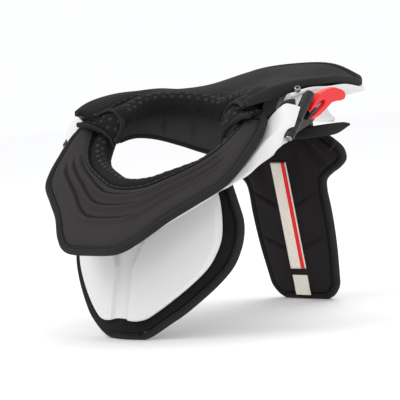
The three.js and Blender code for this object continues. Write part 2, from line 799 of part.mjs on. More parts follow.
function latchLink() {
  const [lugStart, lugEnd] = ARM_LUG;
  const plate = latchPlate(LINK_OUTLINE, LINK_FACE);
  const tongueLug = latchPlate(LINK_TONGUE, [LINK_FACE[1] - 1.5, LINK_TONGUE_TOP]);
  const barrel = rod(onPin(LINK_SPAN[0]), onPin(LINK_SPAN[1]), BARREL_RADIUS);
  const lugSpace = rod(onPin(lugStart - PLAY), onPin(lugEnd + PLAY), BARREL_RADIUS + PLAY);
  const bore = rod(onPin(LINK_SPAN[0] - 6), onPin(LINK_SPAN[1] + 12), PIN_RADIUS + PLAY);
  const capSpace = rod(onPin(LINK_SPAN[1]), onPin(LINK_SPAN[1] + 12), PIN_CAP_RADIUS + PLAY);
  return combine(plate, [tongueLug, barrel], [lugSpace, bore, capSpace, leverBore()]);
}

function latchLever() {
  return combine(latchPlate(LEVER_OUTLINE, LEVER_FACE), [], [leverBore()]);
}

function linkPin() {
  const foot = LINK_SPAN[0] - PLAY;
  const head = LINK_SPAN[1] + PLAY;
  const shaft = rod(onPin(foot - 0.5), onPin(head + 0.5), PIN_RADIUS, 10);
  const footCap = rod(onPin(foot - PIN_CAP_LENGTH), onPin(foot), PIN_CAP_RADIUS, 10);
  const headCap = rod(onPin(head), onPin(head + PIN_CAP_LENGTH), PIN_CAP_RADIUS, 10);
  return combine(shaft, [footCap, headCap], []);
}

function leverPin() {
  return rod(leverAxisAt(LEVER_PIN_REACH[0]), leverAxisAt(LEVER_PIN_REACH[1]), LEVER_PIN_RADIUS, 10);
}

function adjuster() {
  const { from, to, radius, height } = ADJUSTER;
  return rod(inLatch(from, height), inLatch(to, height), radius, 8);
}

function frameScrew() {
  const { at, axis, radius, length, socket, socketDepth } = FRAME_SCREW;
  const onAxis = (distance) => new THREE.Vector3(...add(at, unit(axis), distance));
  const head = rod(onAxis(0), onAxis(length), radius);
  return combine(head, [], [rod(onAxis(length - socketDepth), onAxis(length + 2), socket, 6)]);
}

function faceGrid(rows, keys, depths) {
  const outer = rows.map((row) => keys.map((key) => row[key]));
  const inner = outer.map((points, i) => {
    const before = outer[Math.max(i - 1, 0)];
    const after = outer[Math.min(i + 1, outer.length - 1)];
    return points.map((point, j) => {
      const along = add(after[j], before[j], -1);
      const down = add(points[Math.min(j + 1, keys.length - 1)], points[Math.max(j - 1, 0)], -1);
      return add(point, unit(cross(along, down)), depths[j]);
    });
  });
  return [outer, inner];
}

function hoop() {
  const rows = stations(whole(HOOP), SECTIONS.hoop);
  const [outer, inner] = faceGrid(
    rows,
    ["top", "fold", "low"],
    [HOOP_DEPTH.top, HOOP_DEPTH.fold, HOOP_DEPTH.low],
  );
  return fitArmEnds(slab(outer, inner));
}

function armCore() {
  const rings = stations(ARM_CORE, SECTIONS.armCore).map((row) => {
    const corner = (side, z) => add([...row.at, z], ARM_CORE_SIDE, side * ARM_CORE_HALF);
    return [corner(1, row.low), corner(1, row.high), corner(-1, row.high), corner(-1, row.low)];
  });
  return combine(bar(rings), [], barrelSpace());
}

// Chest plate and pad share one wrapped face
function chestFace(x, z) {
  const curl = z < CHEST_CURL_FROM ? CHEST_CURL * (CHEST_CURL_FROM - z) ** 2 : 0;
  return CHEST_FOOT_Y + CHEST_LEAN * z + CHEST_WRAP * Math.abs(x) ** 1.5 + curl;
}

function chestPlate() {
  const rows = stations(CHEST_PLATE, SECTIONS.chest);
  const grid = (depth) =>
    rows.map((row, i) =>
      CHEST_COLUMNS.map((v) => {
        const x = row.half * v;
        const notch = i === 0 ? FOOT_NOTCH.rise * Math.exp(-((x / FOOT_NOTCH.half) ** 2)) : 0;
        const z = row.z + row.lift * v * v + notch;
        const spread = VALLEY_HALF + Math.max(0, z - VALLEY_FLARE.from) * VALLEY_FLARE.slope;
        const valley = VALLEY_DEPTH * Math.exp(-((x / spread) ** 4)) * (1 - depth);
        const rim = PLATE_RIM * Math.abs(v) ** 10;
        return [x, chestFace(x, z) - PLATE_PROUD + valley + rim + depth * CHEST_PLATE_THICK, z];
      }),
    );
  return slab(grid(0), grid(1));
}

// Half outline of a pad from its foot's centre up one side, moved in from the edge. Its second point ends
// the level part of the foot
function insetOutline(rows, count, inset) {
  const line = stations(rows, count).map((row) => [row.half, row.z + (row.lift ?? 0)]);
  const [footHalf, foot] = line[0];
  const full = [[0, foot], [footHalf * FOOT_LEVEL, foot], ...line];
  return full.map((point, i) => {
    const before = full[Math.max(i - 1, 0)];
    const after = full[Math.min(i + 1, full.length - 1)];
    const [along, rise] = unit([after[0] - before[0], after[1] - before[1]]);
    return [i === 0 ? 0 : point[0] - rise * inset, point[1] + along * inset];
  });
}

// Bound edge down one side of a pad, along its foot and up the other side
function outlineEdging(rows, count, face, thick) {
  const half = insetOutline(rows, count, BINDING_WIDTH / 2);
  const full = [...half.slice(1).map(([x, z]) => [-x, z]).reverse(), ...half];
  const path = full.map(([x, z]) => [x, face(x, z) + thick / 2, z]);
  return edging(path, [0, -1, 0], BINDING_WIDTH, thick);
}

function chestPad() {
  const rows = stations(CHEST_PAD, SECTIONS.chest);
  const half = insetOutline(CHEST_PAD, SECTIONS.chest, BINDING_WIDTH + GAP).slice(2);
  const grid = (depth) =>
    rows.map((row, i) =>
      CHEST_PAD_COLUMNS.map((v) => {
        const [edge, edgeZ] = half[i];
        const x = edge * v;
        const z = edgeZ - row.lift * (1 - v * v);
        return [x, chestFace(x, z) + CHEST_PAD_BACK + depth * CHEST_PAD_THICK, z];
      }),
    );
  return slab(grid(0), grid(1));
}

function chestBinding() {
  const face = (x, z) => chestFace(x, z) + CHEST_PAD_BACK;
  return outlineEdging(CHEST_PAD, SECTIONS.chestBinding, face, CHEST_PAD_THICK - 1);
}

// Rear table
function tableEdges(count) {
  const rows = stations(whole(TABLE), count);
  const outline = rows.map((row) => row.outer);
  return rows.map((row, i) => ({ ...row, tangent: tangentAt(outline, i) }));
}

function rearTable() {
  const rows = tableEdges(SECTIONS.table);
  const span = (row, v) => {
    const start = bandShare(row.inner, row.outer, row.tangent, GAP);
    const end = 1 - bandShare(row.inner, row.outer, row.tangent, TABLE_BINDING_WIDTH + 2 * GAP);
    return mix(row.inner, row.outer, start + (end - start) * v);
  };
  const top = (v) => TABLE_CROWN * (1 - (2 * v - 1) ** 4) - TABLE_SHOULDER;
  const bottom = (v, row) => -(row.under + (row.edge - row.under) * v);
  const line = (row, height) => TABLE_COLUMNS.map((v) => add(span(row, v), [0, 0, height(v, row)]));
  const grid = (height) => rows.map((row) => line(row, height));
  return slab(grid(top), grid(bottom));
}

function tableBinding() {
  const rows = tableEdges(SECTIONS.tableBinding);
  const up = [0, 0, 1];
  const path = rows.map((row) => {
    const middle = 1 - bandShare(row.inner, row.outer, row.tangent, TABLE_BINDING_WIDTH / 2);
    return add(mix(row.inner, row.outer, middle), [0, 0, -row.edge / 2]);
  });
  const rings = path.map((point, i) => {
    const across = unit(cross(tangentAt(path, i), up));
    const halfHeight = rows[i].edge / 2;
    return ringAt(point, across, up, TABLE_BINDING_WIDTH / 2, halfHeight, EDGE_SIDES, EDGE_SQUARENESS);
  });
  return bar(rings);
}

// Fabric skirt below the rear roll
function outwardFrom(point) {
  return unit([point[0], point[1] - NECK_MIDDLE_Y, 0]);
}

function skirt() {
  const rows = stations(whole(SKIRT), SECTIONS.skirt);
  const inside = rows.map((row) => SKIRT_COLUMNS.map((v) => mix(row.high, row.low, v)));
  const outside = inside.map((line) => line.map((point) => add(point, outwardFrom(point), SKIRT_THICK)));
  return slab(inside, outside);
}

function skirtBinding() {
  const rows = stations(whole(SKIRT), SECTIONS.skirt);
  const middle = (row) => add(row.low, outwardFrom(row.low), SKIRT_THICK / 2);
  const path = rows.map((row) => add(middle(row), [0, 0, -SKIRT_BINDING.drop]));
  return edging(path, [0, 0, 1], SKIRT_BINDING.width, SKIRT_BINDING.thick);
}

// Rear tongues that lap over the front roll
function tongue() {
  const rows = stations(TONGUE, SECTIONS.tongue);
  const outer = rows.map((row) => TONGUE_STEPS.map((t) => mix(row.front, row.back, t)));
  const inner = outer.map((line, i) => {
    const before = outer[Math.max(i - 1, 0)];
    const after = outer[Math.min(i + 1, outer.length - 1)];
    return line.map((point, j) => {
      const across = add(after[j], before[j], -1);
      const along = add(line[Math.min(j + 1, line.length - 1)], line[Math.max(j - 1, 0)], -1);
      return add(point, unit(cross(along, across)), -TONGUE_THICK);
    });
  });
  return slab(outer, inner);
}

function tongueBinding() {
  const { at, half, proud, squareness } = TONGUE_BINDING;
  const rows = stations(TONGUE, SECTIONS.tongueBinding);
  const path = rows.map((row) => mix(row.front, row.back, at));
  const rings = path.map((point, i) => {
    const along = unit(add(rows[i].back, rows[i].front, -1));
    const up = unit(cross(along, tangentAt(path, i)));
    const centre = add(point, up, -TONGUE_THICK / 2);
    return ringAt(centre, along, up, half, TONGUE_THICK / 2 + proud, EDGE_SIDES, squareness);
  });
  return bar(rings);
}

// White rear frame: one shell from rim through waist to foot flange
function rearFrame() {
  const rows = stations(whole(FRAME), SECTIONS.frame).map((row) => ({
    rim: row.rim,
    shelf: add(mix(row.rim, row.waist, FRAME_SHELF.share), [0, 0, FRAME_SHELF.rise]),
    waist: row.waist,
    flare: add(mix(row.waist, row.foot, FRAME_FLARE.share), [0, 0, FRAME_FLARE.rise]),
    foot: row.foot,
  }));
  const keys = ["rim", "shelf", "waist", "flare", "foot"];
  const outer = rows.map((row) => keys.map((key) => row[key]));
  const inner = outer.map((line) =>
    line.map((point, j) => {
      const lift = FRAME_LIFT[j];
      const inward = Math.sqrt(1 - lift * lift);
      return add(add(point, outwardFrom(point), -FRAME_THICK * inward), [0, 0, 1], FRAME_THICK * lift);
    }),
  );
  return slab(outer, inner);
}

// Shoulder pads
function shoulderPad() {
  const rows = stations(SHOULDER, SECTIONS.shoulder);
  const grid = (key, sign) =>
    rows.map((row) =>
      SHOULDER_COLUMNS.map((v) => {
        const [x, y] = mix(row.front, row.back, v);
        const swell = sign * SHOULDER_SWELL * (1 - (2 * v - 1) ** 4);
        return [x, y, row[key] + swell - sign * SHOULDER_SWELL];
      }),
    );
  return slab(grid("high", 1), grid("low", -1));
}

// Back pad
function backFace(z) {
  return BACK_PAD_FOOT_Y - BACK_PAD_LEAN * z;
}

function backPad() {
  const edge = insetOutline(BACK_PAD, SECTIONS.backOutline, BINDING_WIDTH + 3 * GAP).slice(2);
  const foot = edge[0][1];
  const top = edge[edge.length - 1][1];
  const halfAt = (z) => {
    const k = Math.max(1, edge.findIndex((point) => point[1] >= Math.min(z, top)));
    const t = (z - edge[k - 1][1]) / (edge[k][1] - edge[k - 1][1]);
    return edge[k - 1][0] + (edge[k][0] - edge[k - 1][0]) * Math.min(Math.max(t, 0), 1);
  };
  const grid = (depth) =>
    BACK_ROWS.map((row) => {
      const level = foot + (top - foot) * row.level;
      let half = halfAt(level);
      for (let pass = 0; pass < 6; pass++) {
        half = halfAt(level + row.vee * half);
      }
      return BACK_COLUMNS.map((v) => {
        const x = half * v;
        const z = level + row.vee * Math.abs(x);
        const edgeFade = 1 - v ** 8;
        const sunk = row.groove * edgeFade * (1 - depth);
        return [x, backFace(z) + sunk + depth * BACK_PAD_THICK, z];
      });
    });
  return slab(grid(0), grid(1));
}

function backBinding() {
  const face = (x, z) => backFace(z) + BACK_EDGE_STEP;
  return outlineEdging(BACK_PAD, SECTIONS.backBinding, face, BACK_PAD_THICK - 2 * BACK_EDGE_STEP);
}

function backStrut() {
  const near = BACK_PAD_THICK + GAP;
  const grid = (depth) =>
    BACK_STRUT.map((row) =>
      [-1, 0, 1].map((v) => [row.half * v, backFace(row.z) + near + depth * STRUT_THICK, row.z]),
    );
  return slab(grid(0), grid(1));
}

function keeperLoop() {
  const path = stations(LOOP, SECTIONS.loop).map((row) => row.at);
  return edging(path, unit(LOOP_BAND.up), LOOP_BAND.width, LOOP_BAND.thick);
}

function tag(sizes) {
  const grid = (depth) =>
    [sizes.bottom, sizes.top].map((z) =>
      [-1, 1].map((v) => [sizes.half * v, backFace(z) - GAP - depth * TAG_THICK, z]),
    );
  return slab(grid(0), grid(1));
}

piece("front_collar_pad", collarPad(), FABRIC);
piece("front_collar_binding", collarBinding(), BINDING);
piece("front_neck_roll", frontRoll(), ROLL_FABRIC);
piece("front_hoop", hoop(), WHITE_PLASTIC);
pieces("arm_core", armCore(), BLACK_PLASTIC);
piece("chest_plate", chestPlate(), WHITE_PLASTIC);
piece("chest_pad", chestPad(), FABRIC);
piece("chest_binding", chestBinding(), BINDING);
piece("rear_table_pad", rearTable(), FABRIC);
piece("rear_table_binding", tableBinding(), BINDING);
piece("rear_neck_roll", rearRoll(), ROLL_FABRIC);
piece("rear_skirt", skirt(), FABRIC);
piece("rear_skirt_binding", skirtBinding(), BINDING);
pieces("rear_tongue", tongue(), ROLL_FABRIC);
pieces("rear_tongue_binding", tongueBinding(), BINDING);
piece("rear_frame", rearFrame(), WHITE_PLASTIC);
pieces("shoulder_pad", shoulderPad(), FABRIC);
piece("back_pad", backPad(), FABRIC);
piece("back_binding", backBinding(), BINDING);
piece("back_strut", backStrut(), BLACK_PLASTIC);
pieces("keeper_loop", keeperLoop(), BINDING);
pieces("latch_link", latchLink(), BLACK_PLASTIC);
pieces("link_pin", linkPin(), STEEL);
pieces("latch_lever", latchLever(), RED_PLASTIC);
pieces("lever_pin", leverPin(), STEEL);
pieces("latch_adjuster", adjuster(), STEEL);
pieces("frame_screw", frameScrew(), STEEL);
piece("long_tag", tag(LONG_TAG), TAG_CLOTH);
piece("small_tag", tag(SMALL_TAG), TAG_CLOTH);

export default brace;
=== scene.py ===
"""A rigid padded neck brace for riding, dressed in cloth, moulded plastic and steel.

Tables are in millimetres with Y = 0 at the tips of the front collar and Z = 0 at the floor; metres()
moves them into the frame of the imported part. The wearer faces -Y and their left is +X.
"""

import logging
import math
from collections.abc import Sequence
from dataclasses import dataclass
from enum import Enum

import bmesh
import bpy
import numpy as np
from mathutils import Matrix, Vector


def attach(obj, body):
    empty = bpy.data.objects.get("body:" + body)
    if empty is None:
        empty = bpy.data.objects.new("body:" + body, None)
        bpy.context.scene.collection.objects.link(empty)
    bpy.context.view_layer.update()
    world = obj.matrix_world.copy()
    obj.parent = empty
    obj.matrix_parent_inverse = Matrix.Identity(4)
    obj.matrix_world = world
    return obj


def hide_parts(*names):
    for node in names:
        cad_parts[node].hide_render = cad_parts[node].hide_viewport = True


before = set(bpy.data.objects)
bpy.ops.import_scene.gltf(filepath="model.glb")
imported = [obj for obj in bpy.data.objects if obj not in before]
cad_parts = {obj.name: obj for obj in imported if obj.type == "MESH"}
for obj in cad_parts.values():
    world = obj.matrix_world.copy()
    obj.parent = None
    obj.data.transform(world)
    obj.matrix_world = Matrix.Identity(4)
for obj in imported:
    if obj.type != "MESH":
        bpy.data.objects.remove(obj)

LOG = logging.getLogger("neck_brace")
LAYOUT = "Flat"
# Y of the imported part's middle, and the middle of the neck opening
CENTRE_Y = 41.57
NECK = np.array((0.0, 20.0, 0.0))
UP = np.array((0.0, 0.0, 1.0))
FORWARD = np.array((0.0, -1.0, 0.0))
# Room between hard pieces, lap of sewn ones, depth of a stitch and width of a bound edge
GAP = 0.4
SEAM = 0.12
SUNK = 0.48
BINDING_WIDTH = 6.0
# How far a tape's stitches lie off its middle and how wide they pull it in, as shares of its width
STITCH_LINE = 0.12
STITCH_PULL = 0.14
# Points round a folded tape, how square it is, and how full a pad stays towards its edge
TAPE_SIDES = 24
TAPE_SQUARE = 0.7
PAD_FULLNESS = 2.4
# Angle in degrees above which the edge of a moulding or a pin stays crisp
CRISP = 40.0
# A direction that no pin lies along
OFF_AXIS = (0.31, 0.5, 0.81)
# Scale at which a wave texture repeats once a millimetre
WAVE_SCALE = 0.3142
# Share of a pad's foot that is level, and the points along it
FOOT_LEVEL = 0.7
FOOT_POINTS = 8

Array = np.ndarray
Table = tuple[tuple[float, ...], ...]
Pair = tuple[float, float]
Triple = tuple[float, float, float]
Socket = bpy.types.NodeSocket
Piece = bpy.types.Object


class Side(Enum):
    """The wearer's two sides."""

    LEFT = 1
    RIGHT = -1

    @property
    def word(self) -> str:
        """The side as it ends a piece's name."""
        return self.name.lower()


class Weave(Enum):
    """How a cloth's surface is made."""

    KNIT = "knit"
    MESH = "mesh"
    PILE = "pile"
    RIB = "rib"
    PLAIN = "plain"


def metres(points: Array) -> Array:
    """Table millimetres as metres in the part's own frame."""
    return (np.asarray(points, float) - (0.0, CENTRE_Y, 0.0)) / 1000.0


def unit(vectors: Array) -> Array:
    """Vectors at length one."""
    return vectors / np.maximum(np.linalg.norm(vectors, axis=-1, keepdims=True), 1e-9)


def spline(rows: Table | Array, u: Array) -> Array:
    """Rows of a table between its own rows, on smooth curves.

    Args:
        rows: one row of numbers for each section.
        u: places along the table from 0 to 1.

    Returns:
        One row for each place.
    """
    table = np.asarray(rows, float)
    last = len(table) - 1
    place = np.clip(u, 0, 1) * last
    index = np.minimum(place.astype(int), last - 1)
    t = (place - index)[:, None]
    a, b, c, d = (table[np.clip(index + k, 0, last)] for k in (-1, 0, 1, 2))
    square, cube = t * t, t * t * t
    return (
        (2 * cube - 3 * square + 1) * b
        + (cube - 2 * square + t) * (c - a) / 2
        + (3 * square - 2 * cube) * c
        + (cube - square) * (d - b) / 2
    )


def whole(rows: Table, crosswise: Sequence[int]) -> Array:
    """A table of one half made whole by mirroring it about its first row.

    Args:
        rows: the half that lies on the wearer's left.
        crosswise: the columns that hold an X.

    Returns:
        The table from the right end through the middle to the left end.
    """
    half = np.asarray(rows, float)
    other = half[:0:-1].copy()
    other[:, list(crosswise)] *= -1
    return np.vstack([other, half])


def tangents(path: Array) -> Array:
    """Directions along a path at each of its points."""
    return unit(np.vstack([path[1:], path[-1:]]) - np.vstack([path[:1], path[:-1]]))


def sideways(path: Array, up: Array) -> Array:
    """Directions square to a path and to an upward direction."""
    return unit(np.cross(tangents(path), np.broadcast_to(up, path.shape)))


def from_neck(points: Array) -> Array:
    """Level directions away from the middle of the neck opening."""
    return unit((points - NECK) * (1, 1, 0))


def travel(path: Array) -> Array:
    """Distance along a path at each of its points."""
    steps = np.linalg.norm(np.diff(path, axis=0), axis=1)
    return np.concatenate([[0.0], steps.cumsum()])


def oval(sides: int, square: float = 1.0, start: float = 0.0) -> list[Array]:
    """Cosines and sines round a ring.

    Args:
        sides: points round the ring.
        square: below one for a squarer ring.
        start: where the first point lies, in spaces.

    Returns:
        The two rows.
    """
    turn = (np.arange(sides) + start) / sides * 2 * np.pi
    return [np.sign(part) * np.abs(part) ** square for part in (np.cos(turn), np.sin(turn))]


def evenly(path: Array, spacing: float, *others: Array) -> list[Array]:
    """A path, and other rows that go with it, at even distances.

    Args:
        path: points along a line.
        spacing: distance wanted between two points.
        others: rows of the same count as the path.

    Returns:
        The path and the other rows at those distances.
    """
    run = travel(path)
    stops = np.arange(spacing / 2, run[-1], spacing)
    return [
        np.stack([np.interp(stops, run, rows[:, k]) for k in range(rows.shape[1])], axis=1)
        for rows in (path, *others)
    ]


def dense_ends(count: int, lean: float = 0.6) -> Array:
    """Places from 0 to 1 that crowd towards both ends."""
    even = np.linspace(0, 1, count)
    return lean * (1 - np.cos(np.pi * even)) / 2 + (1 - lean) * even


def bell(distance: Array, half: float) -> Array:
    """One at a line, falling to nothing a few half widths away."""
    return np.exp(-((distance / half) ** 2))


def step(value: Array, low: float, high: float) -> Array:
    """Nothing below low, one above high, smooth between."""
    t = np.clip((value - low) / (high - low), 0, 1)
    return t * t * (3 - 2 * t)


@dataclass
class Shell:
    """A surface in table millimetres, laid flat in millimetres for its weave."""

    points: Array
    faces: list[list[int]]
    layout: Array
    slots: list[int] | None = None

    def make(self, name: str, merge: bool = False, sharp: float | None = None) -> Piece:
        """The surface as an object in the part's frame.

        Args:
            name: the piece's name.
            merge: whether points that meet become one.
            sharp: angle in degrees above which an edge stays crisp.

        Returns:
            The new object, shaded smooth.
        """
        mesh = bpy.data.meshes.new(name)
        mesh.from_pydata(metres(self.points).tolist(), [], self.faces)
        mesh.uv_layers.new(name=LAYOUT).data.foreach_set("uv", self.layout.astype(np.float32).ravel())
        if self.slots is not None:
            mesh.polygons.foreach_set("material_index", self.slots)
        if merge:
            joined = bmesh.new()
            joined.from_mesh(mesh)
            bmesh.ops.remove_doubles(joined, verts=joined.verts, dist=3e-6)
            bmesh.ops.dissolve_degenerate(joined, edges=joined.edges, dist=1e-7)
            joined.to_mesh(mesh)
            joined.free()
        mesh.polygons.foreach_set("use_smooth", [True] * len(mesh.polygons))
        if sharp is not None:
            mesh.set_sharp_from_angle(angle=math.radians(sharp))
        mesh.update()
        obj = bpy.data.objects.new(name, mesh)
        bpy.context.scene.collection.objects.link(obj)
        return obj

    def mirrored(self) -> "Shell":
        """The same surface on the other side of the wearer.

        Returns:
            The mirrored surface, still facing out.
        """
        turned = [face[::-1] for face in self.faces]
        layout, start = self.layout.copy(), 0
        for face in self.faces:
            layout[start : start + len(face)] = self.layout[start : start + len(face)][::-1]
            start += len(face)
        return Shell(self.points * (-1, 1, 1), turned, layout, self.slots)

    def on(self, side: Side) -> "Shell":
        """The surface on one side, made for the left."""
        return self if side is Side.LEFT else self.mirrored()


def enclosed(points: Array, faces: list[list[int]]) -> float:
    """Six times the space that a closed surface holds.

    Args:
        points: the surface's points.
        faces: the points of each face, in order.

    Returns:
        The space, below nothing if the surface faces inwards.
    """
    about = points - points.mean(axis=0)
    fans = np.array([(face[0], face[k], face[k + 1]) for face in faces for k in range(1, len(face) - 1)])
    a, b, c = (about[fans[:, k]] for k in range(3))
    return float(np.einsum("ij,ij->", a, np.cross(b, c)))


def loft(rings: Array, capped: bool = True) -> Shell:
    """Closed surface through rings of points, facing out.

    Args:
        rings: sections by points by three.
        capped: whether the two ends are closed.

    Returns:
        The surface, its layout along and round the piece.
    """
    count, sides = rings.shape[:2]
    index = np.arange(count * sides).reshape(count, sides)
    ahead = np.roll(index, -1, axis=1)
    quads = np.stack([index[:-1], ahead[:-1], ahead[1:], index[1:]], axis=-1).reshape(-1, 4)
    closed = np.concatenate([rings, rings[:, :1]], axis=1)
    girth = np.linalg.norm(np.diff(closed, axis=1), axis=2).cumsum(axis=1)
    girth = np.concatenate([np.zeros((count, 1)), girth], axis=1)
    run = travel(rings.mean(axis=1))
    across = np.stack([girth[:-1, :-1], girth[:-1, 1:], girth[1:, 1:], girth[1:, :-1]], -1).reshape(-1, 4)
    along = np.repeat(np.stack([run[:-1], run[:-1], run[1:], run[1:]], -1), sides, axis=0)
    layout = np.stack([across, along], axis=-1)
    points = rings.reshape(-1, 3)
    faces, corners = quads.tolist(), layout.reshape(-1, 2)
    ends: list[list[int]] = []
    if capped:
        points = np.vstack([points, rings[0].mean(axis=0), rings[-1].mean(axis=0)])
        start, end, top = count * sides, count * sides + 1, (count - 1) * sides
        for k in range(sides):
            after = (k + 1) % sides
            ends += [[start, after, k], [end, top + k, top + after]]
        corners = np.vstack([corners, np.tile(((0.0, 0.0), (1.0, 0.0), (1.0, 1.0)), (len(ends), 1))])
    if enclosed(points, faces + ends) < 0:
        faces = [face[::-1] for face in faces]
        ends = [face[::-1] for face in ends]
        flat = layout[:, ::-1].reshape(-1, 2)
        corners = np.vstack([flat, corners[len(flat) :]])
    return Shell(points, faces + ends, corners)


def pillow(front: Array, back: Array, rows: Array, columns: Array, soft: Pair) -> Shell:
    """A pad whose two faces draw together along all its edges.

    Args:
        front: grid of points of the upper face.
        back: the same grid on the lower face.
        rows: place of each row from 0 to 1.
        columns: place of each column from 0 to 1.
        soft: how late the faces fall towards the edge, across and along.

    Returns:
        The surface, over the front and back along the other face.
    """
    fall_columns = 1 - np.abs(2 * columns - 1) ** soft[0]
    fall_rows = 1 - np.abs(2 * rows - 1) ** soft[1]
    fall = (np.outer(fall_rows, fall_columns) ** (1 / PAD_FULLNESS))[..., None]
    middle = (front + back) / 2
    upper = middle + (front - middle) * fall
    lower = middle + (back - middle) * fall
    return loft(np.concatenate([upper, lower[:, -2:0:-1]], axis=1), capped=False)


def rounded(corners: Array, radii: Sequence[float], steps: int = 6) -> Array:
    """Rings whose corners are eased.

    Args:
        corners: sections by corners by three.
        radii: how far each corner's easing reaches along its edges.
        steps: points on each eased corner.

    Returns:
        Rings with steps points for each corner.
    """
    parts = []
    for k, radius in enumerate(radii):
        here = corners[:, k]
        reach = []
        for other in (corners[:, k - 1], corners[:, (k + 1) % len(radii)]):
            edge = other - here
            length = np.linalg.norm(edge, axis=1, keepdims=True)
            reach.append(here + edge / np.maximum(length, 1e-9) * np.minimum(radius, 0.46 * length))
        for t in np.linspace(0, 1, steps):
            parts.append((1 - t) ** 2 * reach[0] + 2 * t * (1 - t) * here + t**2 * reach[1])
    return np.stack(parts, axis=1)


def rings_round(path: Array, across: Array, high: Array, x: Array, y: Array) -> Array:
    """Rings round a path, x and y along the two directions that span them."""
    return path[:, None] + across[:, None] * x[..., None] + high[:, None] * y[..., None]


def bound_edge(path: Array, up: Array, width: float, thick: Array | float, tuck: float = 0.6) -> Shell:
    """A folded tape along a path.

    Args:
        path: the tape's middle line.
        up: the pad's own upward direction.
        width: the tape's width.
        thick: its thickness, one number or one for each point.
        tuck: depth of the line that its stitches pull in.

    Returns:
        The closed surface.
    """
    wide, tall = oval(TAPE_SIDES, TAPE_SQUARE, 0.5)
    x = wide * width / 2
    pull = np.sign(tall) * tuck * bell(x + STITCH_LINE * width, STITCH_PULL * width)
    y = np.outer(np.broadcast_to(np.asarray(thick, float), len(path)) / 2, tall) - pull
    return loft(rings_round(path, sideways(path, up), np.broadcast_to(up, path.shape), x, y))


def tube(path: Array, radius: Array, sides: int) -> tuple[Array, Array, Array]:
    """Rings of a round roll along a path.

    Args:
        path: the roll's middle line.
        radius: the roll's radius at each point.
        sides: points round the roll.

    Returns:
        The rings, and the two directions that span each of them.
    """
    across = sideways(path, UP)
    high = unit(np.cross(across, tangents(path)))
    x, y = oval(sides)
    spread = across[:, None] * x[None, :, None] + high[:, None] * y[None, :, None]
    return path[:, None] + spread * radius[:, None, None], across, high


def turned(start: Array, end: Array, profile: Table, sides: int = 28) -> Shell:
    """A turned pin between two points.

    Args:
        start: the foot of the pin.
        end: the head of the pin.
        profile: rows of share of the length and radius.
        sides: points round the pin.

    Returns:
        The closed surface.
    """
    axis = unit(np.asarray(end, float) - start)
    side = unit(np.cross(axis, OFF_AXIS))
    x, y = oval(sides)
    circle = np.outer(x, side) + np.outer(y, np.cross(axis, side))
    rings = [start + (np.asarray(end) - start) * share + circle * radius for share, radius in profile]
    return loft(np.array(rings))


def rod(start: Array, end: Array, radius: float, ease: float = 0.0, sides: int = 28) -> Shell:
    """A plain round rod between two points.

    Args:
        start: one end.
        end: the other end.
        radius: the rod's radius.
        ease: how much its ends are eased.
        sides: points round the rod.

    Returns:
        The closed surface.
    """
    body = ((0.05, radius), (0.95, radius)) if ease else ()
    return turned(start, end, ((0.0, radius - ease), *body, (1.0, radius - ease)), sides)


def scatter(seed: Shell, places: Array, frames: Array) -> Shell:
    """Copies of a small shell.

    Args:
        seed: the shell round its own origin.
        places: where each copy goes.
        frames: three directions for each copy.

    Returns:
        All copies as one surface.
    """
    points = places[:, None] + np.einsum("tk,nkj->ntj", seed.points, frames)
    size = len(seed.points)
    faces = [[v + n * size for v in face] for n in range(len(places)) for face in seed.faces]
    slots = None if seed.slots is None else seed.slots * len(places)
    return Shell(points.reshape(-1, 3), faces, np.tile(seed.layout, (len(places), 1)), slots)


def stitch_seed(length: float = 2.1, radius: float = 0.45) -> Shell:
    """One thread stitch along its own X, lying on Z = 0.

    Args:
        length: of the stitch.
        radius: of the thread.

    Returns:
        The closed surface.
    """
    x, y = oval(6)
    rings = []
    for share, size in ((-0.5, 0.35), (-0.38, 0.85), (0.0, 1.0), (0.38, 0.85), (0.5, 0.35)):
        lift = 0.25 * radius - 1.2 * radius * (2 * share) ** 2
        ring = [np.full(len(x), share * length), x * radius * size, y * radius * size + lift]
        rings.append(np.stack(ring, axis=1))
    return loft(np.array(rings))


def stitches(line: Array, normals: Array, spacing: float = 3.0) -> Shell:
    """A row of stitches along a line.

    Args:
        line: points that the thread follows.
        normals: the cloth's outward direction, one or one for each point.
        spacing: from one stitch to the next.

    Returns:
        All the stitches as one surface.
    """
    places, facing = evenly(line, spacing, np.broadcast_to(normals, line.shape))
    along = tangents(places)
    side = unit(np.cross(facing, along))
    return scatter(stitch_seed(), places, np.stack([along, side, np.cross(along, side)], axis=1))


def eyelet_seed(hole: float = 0.95, rim: float = 1.55, segments: int = 12) -> Shell:
    """A punched hole with its turned rim, facing its own Z.

    Args:
        hole: radius of the hole.
        rim: radius of the rim.
        segments: points round it.

    Returns:
        The shell, its rim in slot 0 and in slot 1 a flat disc over the hole, for the hole's painted shade.
    """
    profile = ((rim, -0.25), (rim * 0.97, 0.12), ((rim + hole) / 2, 0.27), (hole, 0.1))
    ring = np.stack(oval(segments), axis=1)
    points = [(r * x, r * y, z) for r, z in profile for x, y in ring] + [(0, 0, 0.06)]
    faces, slots = [], []
    for k in range(len(profile) - 1):
        for j in range(segments):
            after = (j + 1) % segments
            a, b = k * segments, (k + 1) * segments
            faces.append([a + j, a + after, b + after, b + j])
            slots.append(0)
    last = (len(profile) - 1) * segments
    for j in range(segments):
        faces.append([last + j, last + (j + 1) % segments, len(points) - 1])
        slots.append(1)
    layout = np.array([points[v][:2] for face in faces for v in face])
    return Shell(np.array(points), faces, layout, slots)


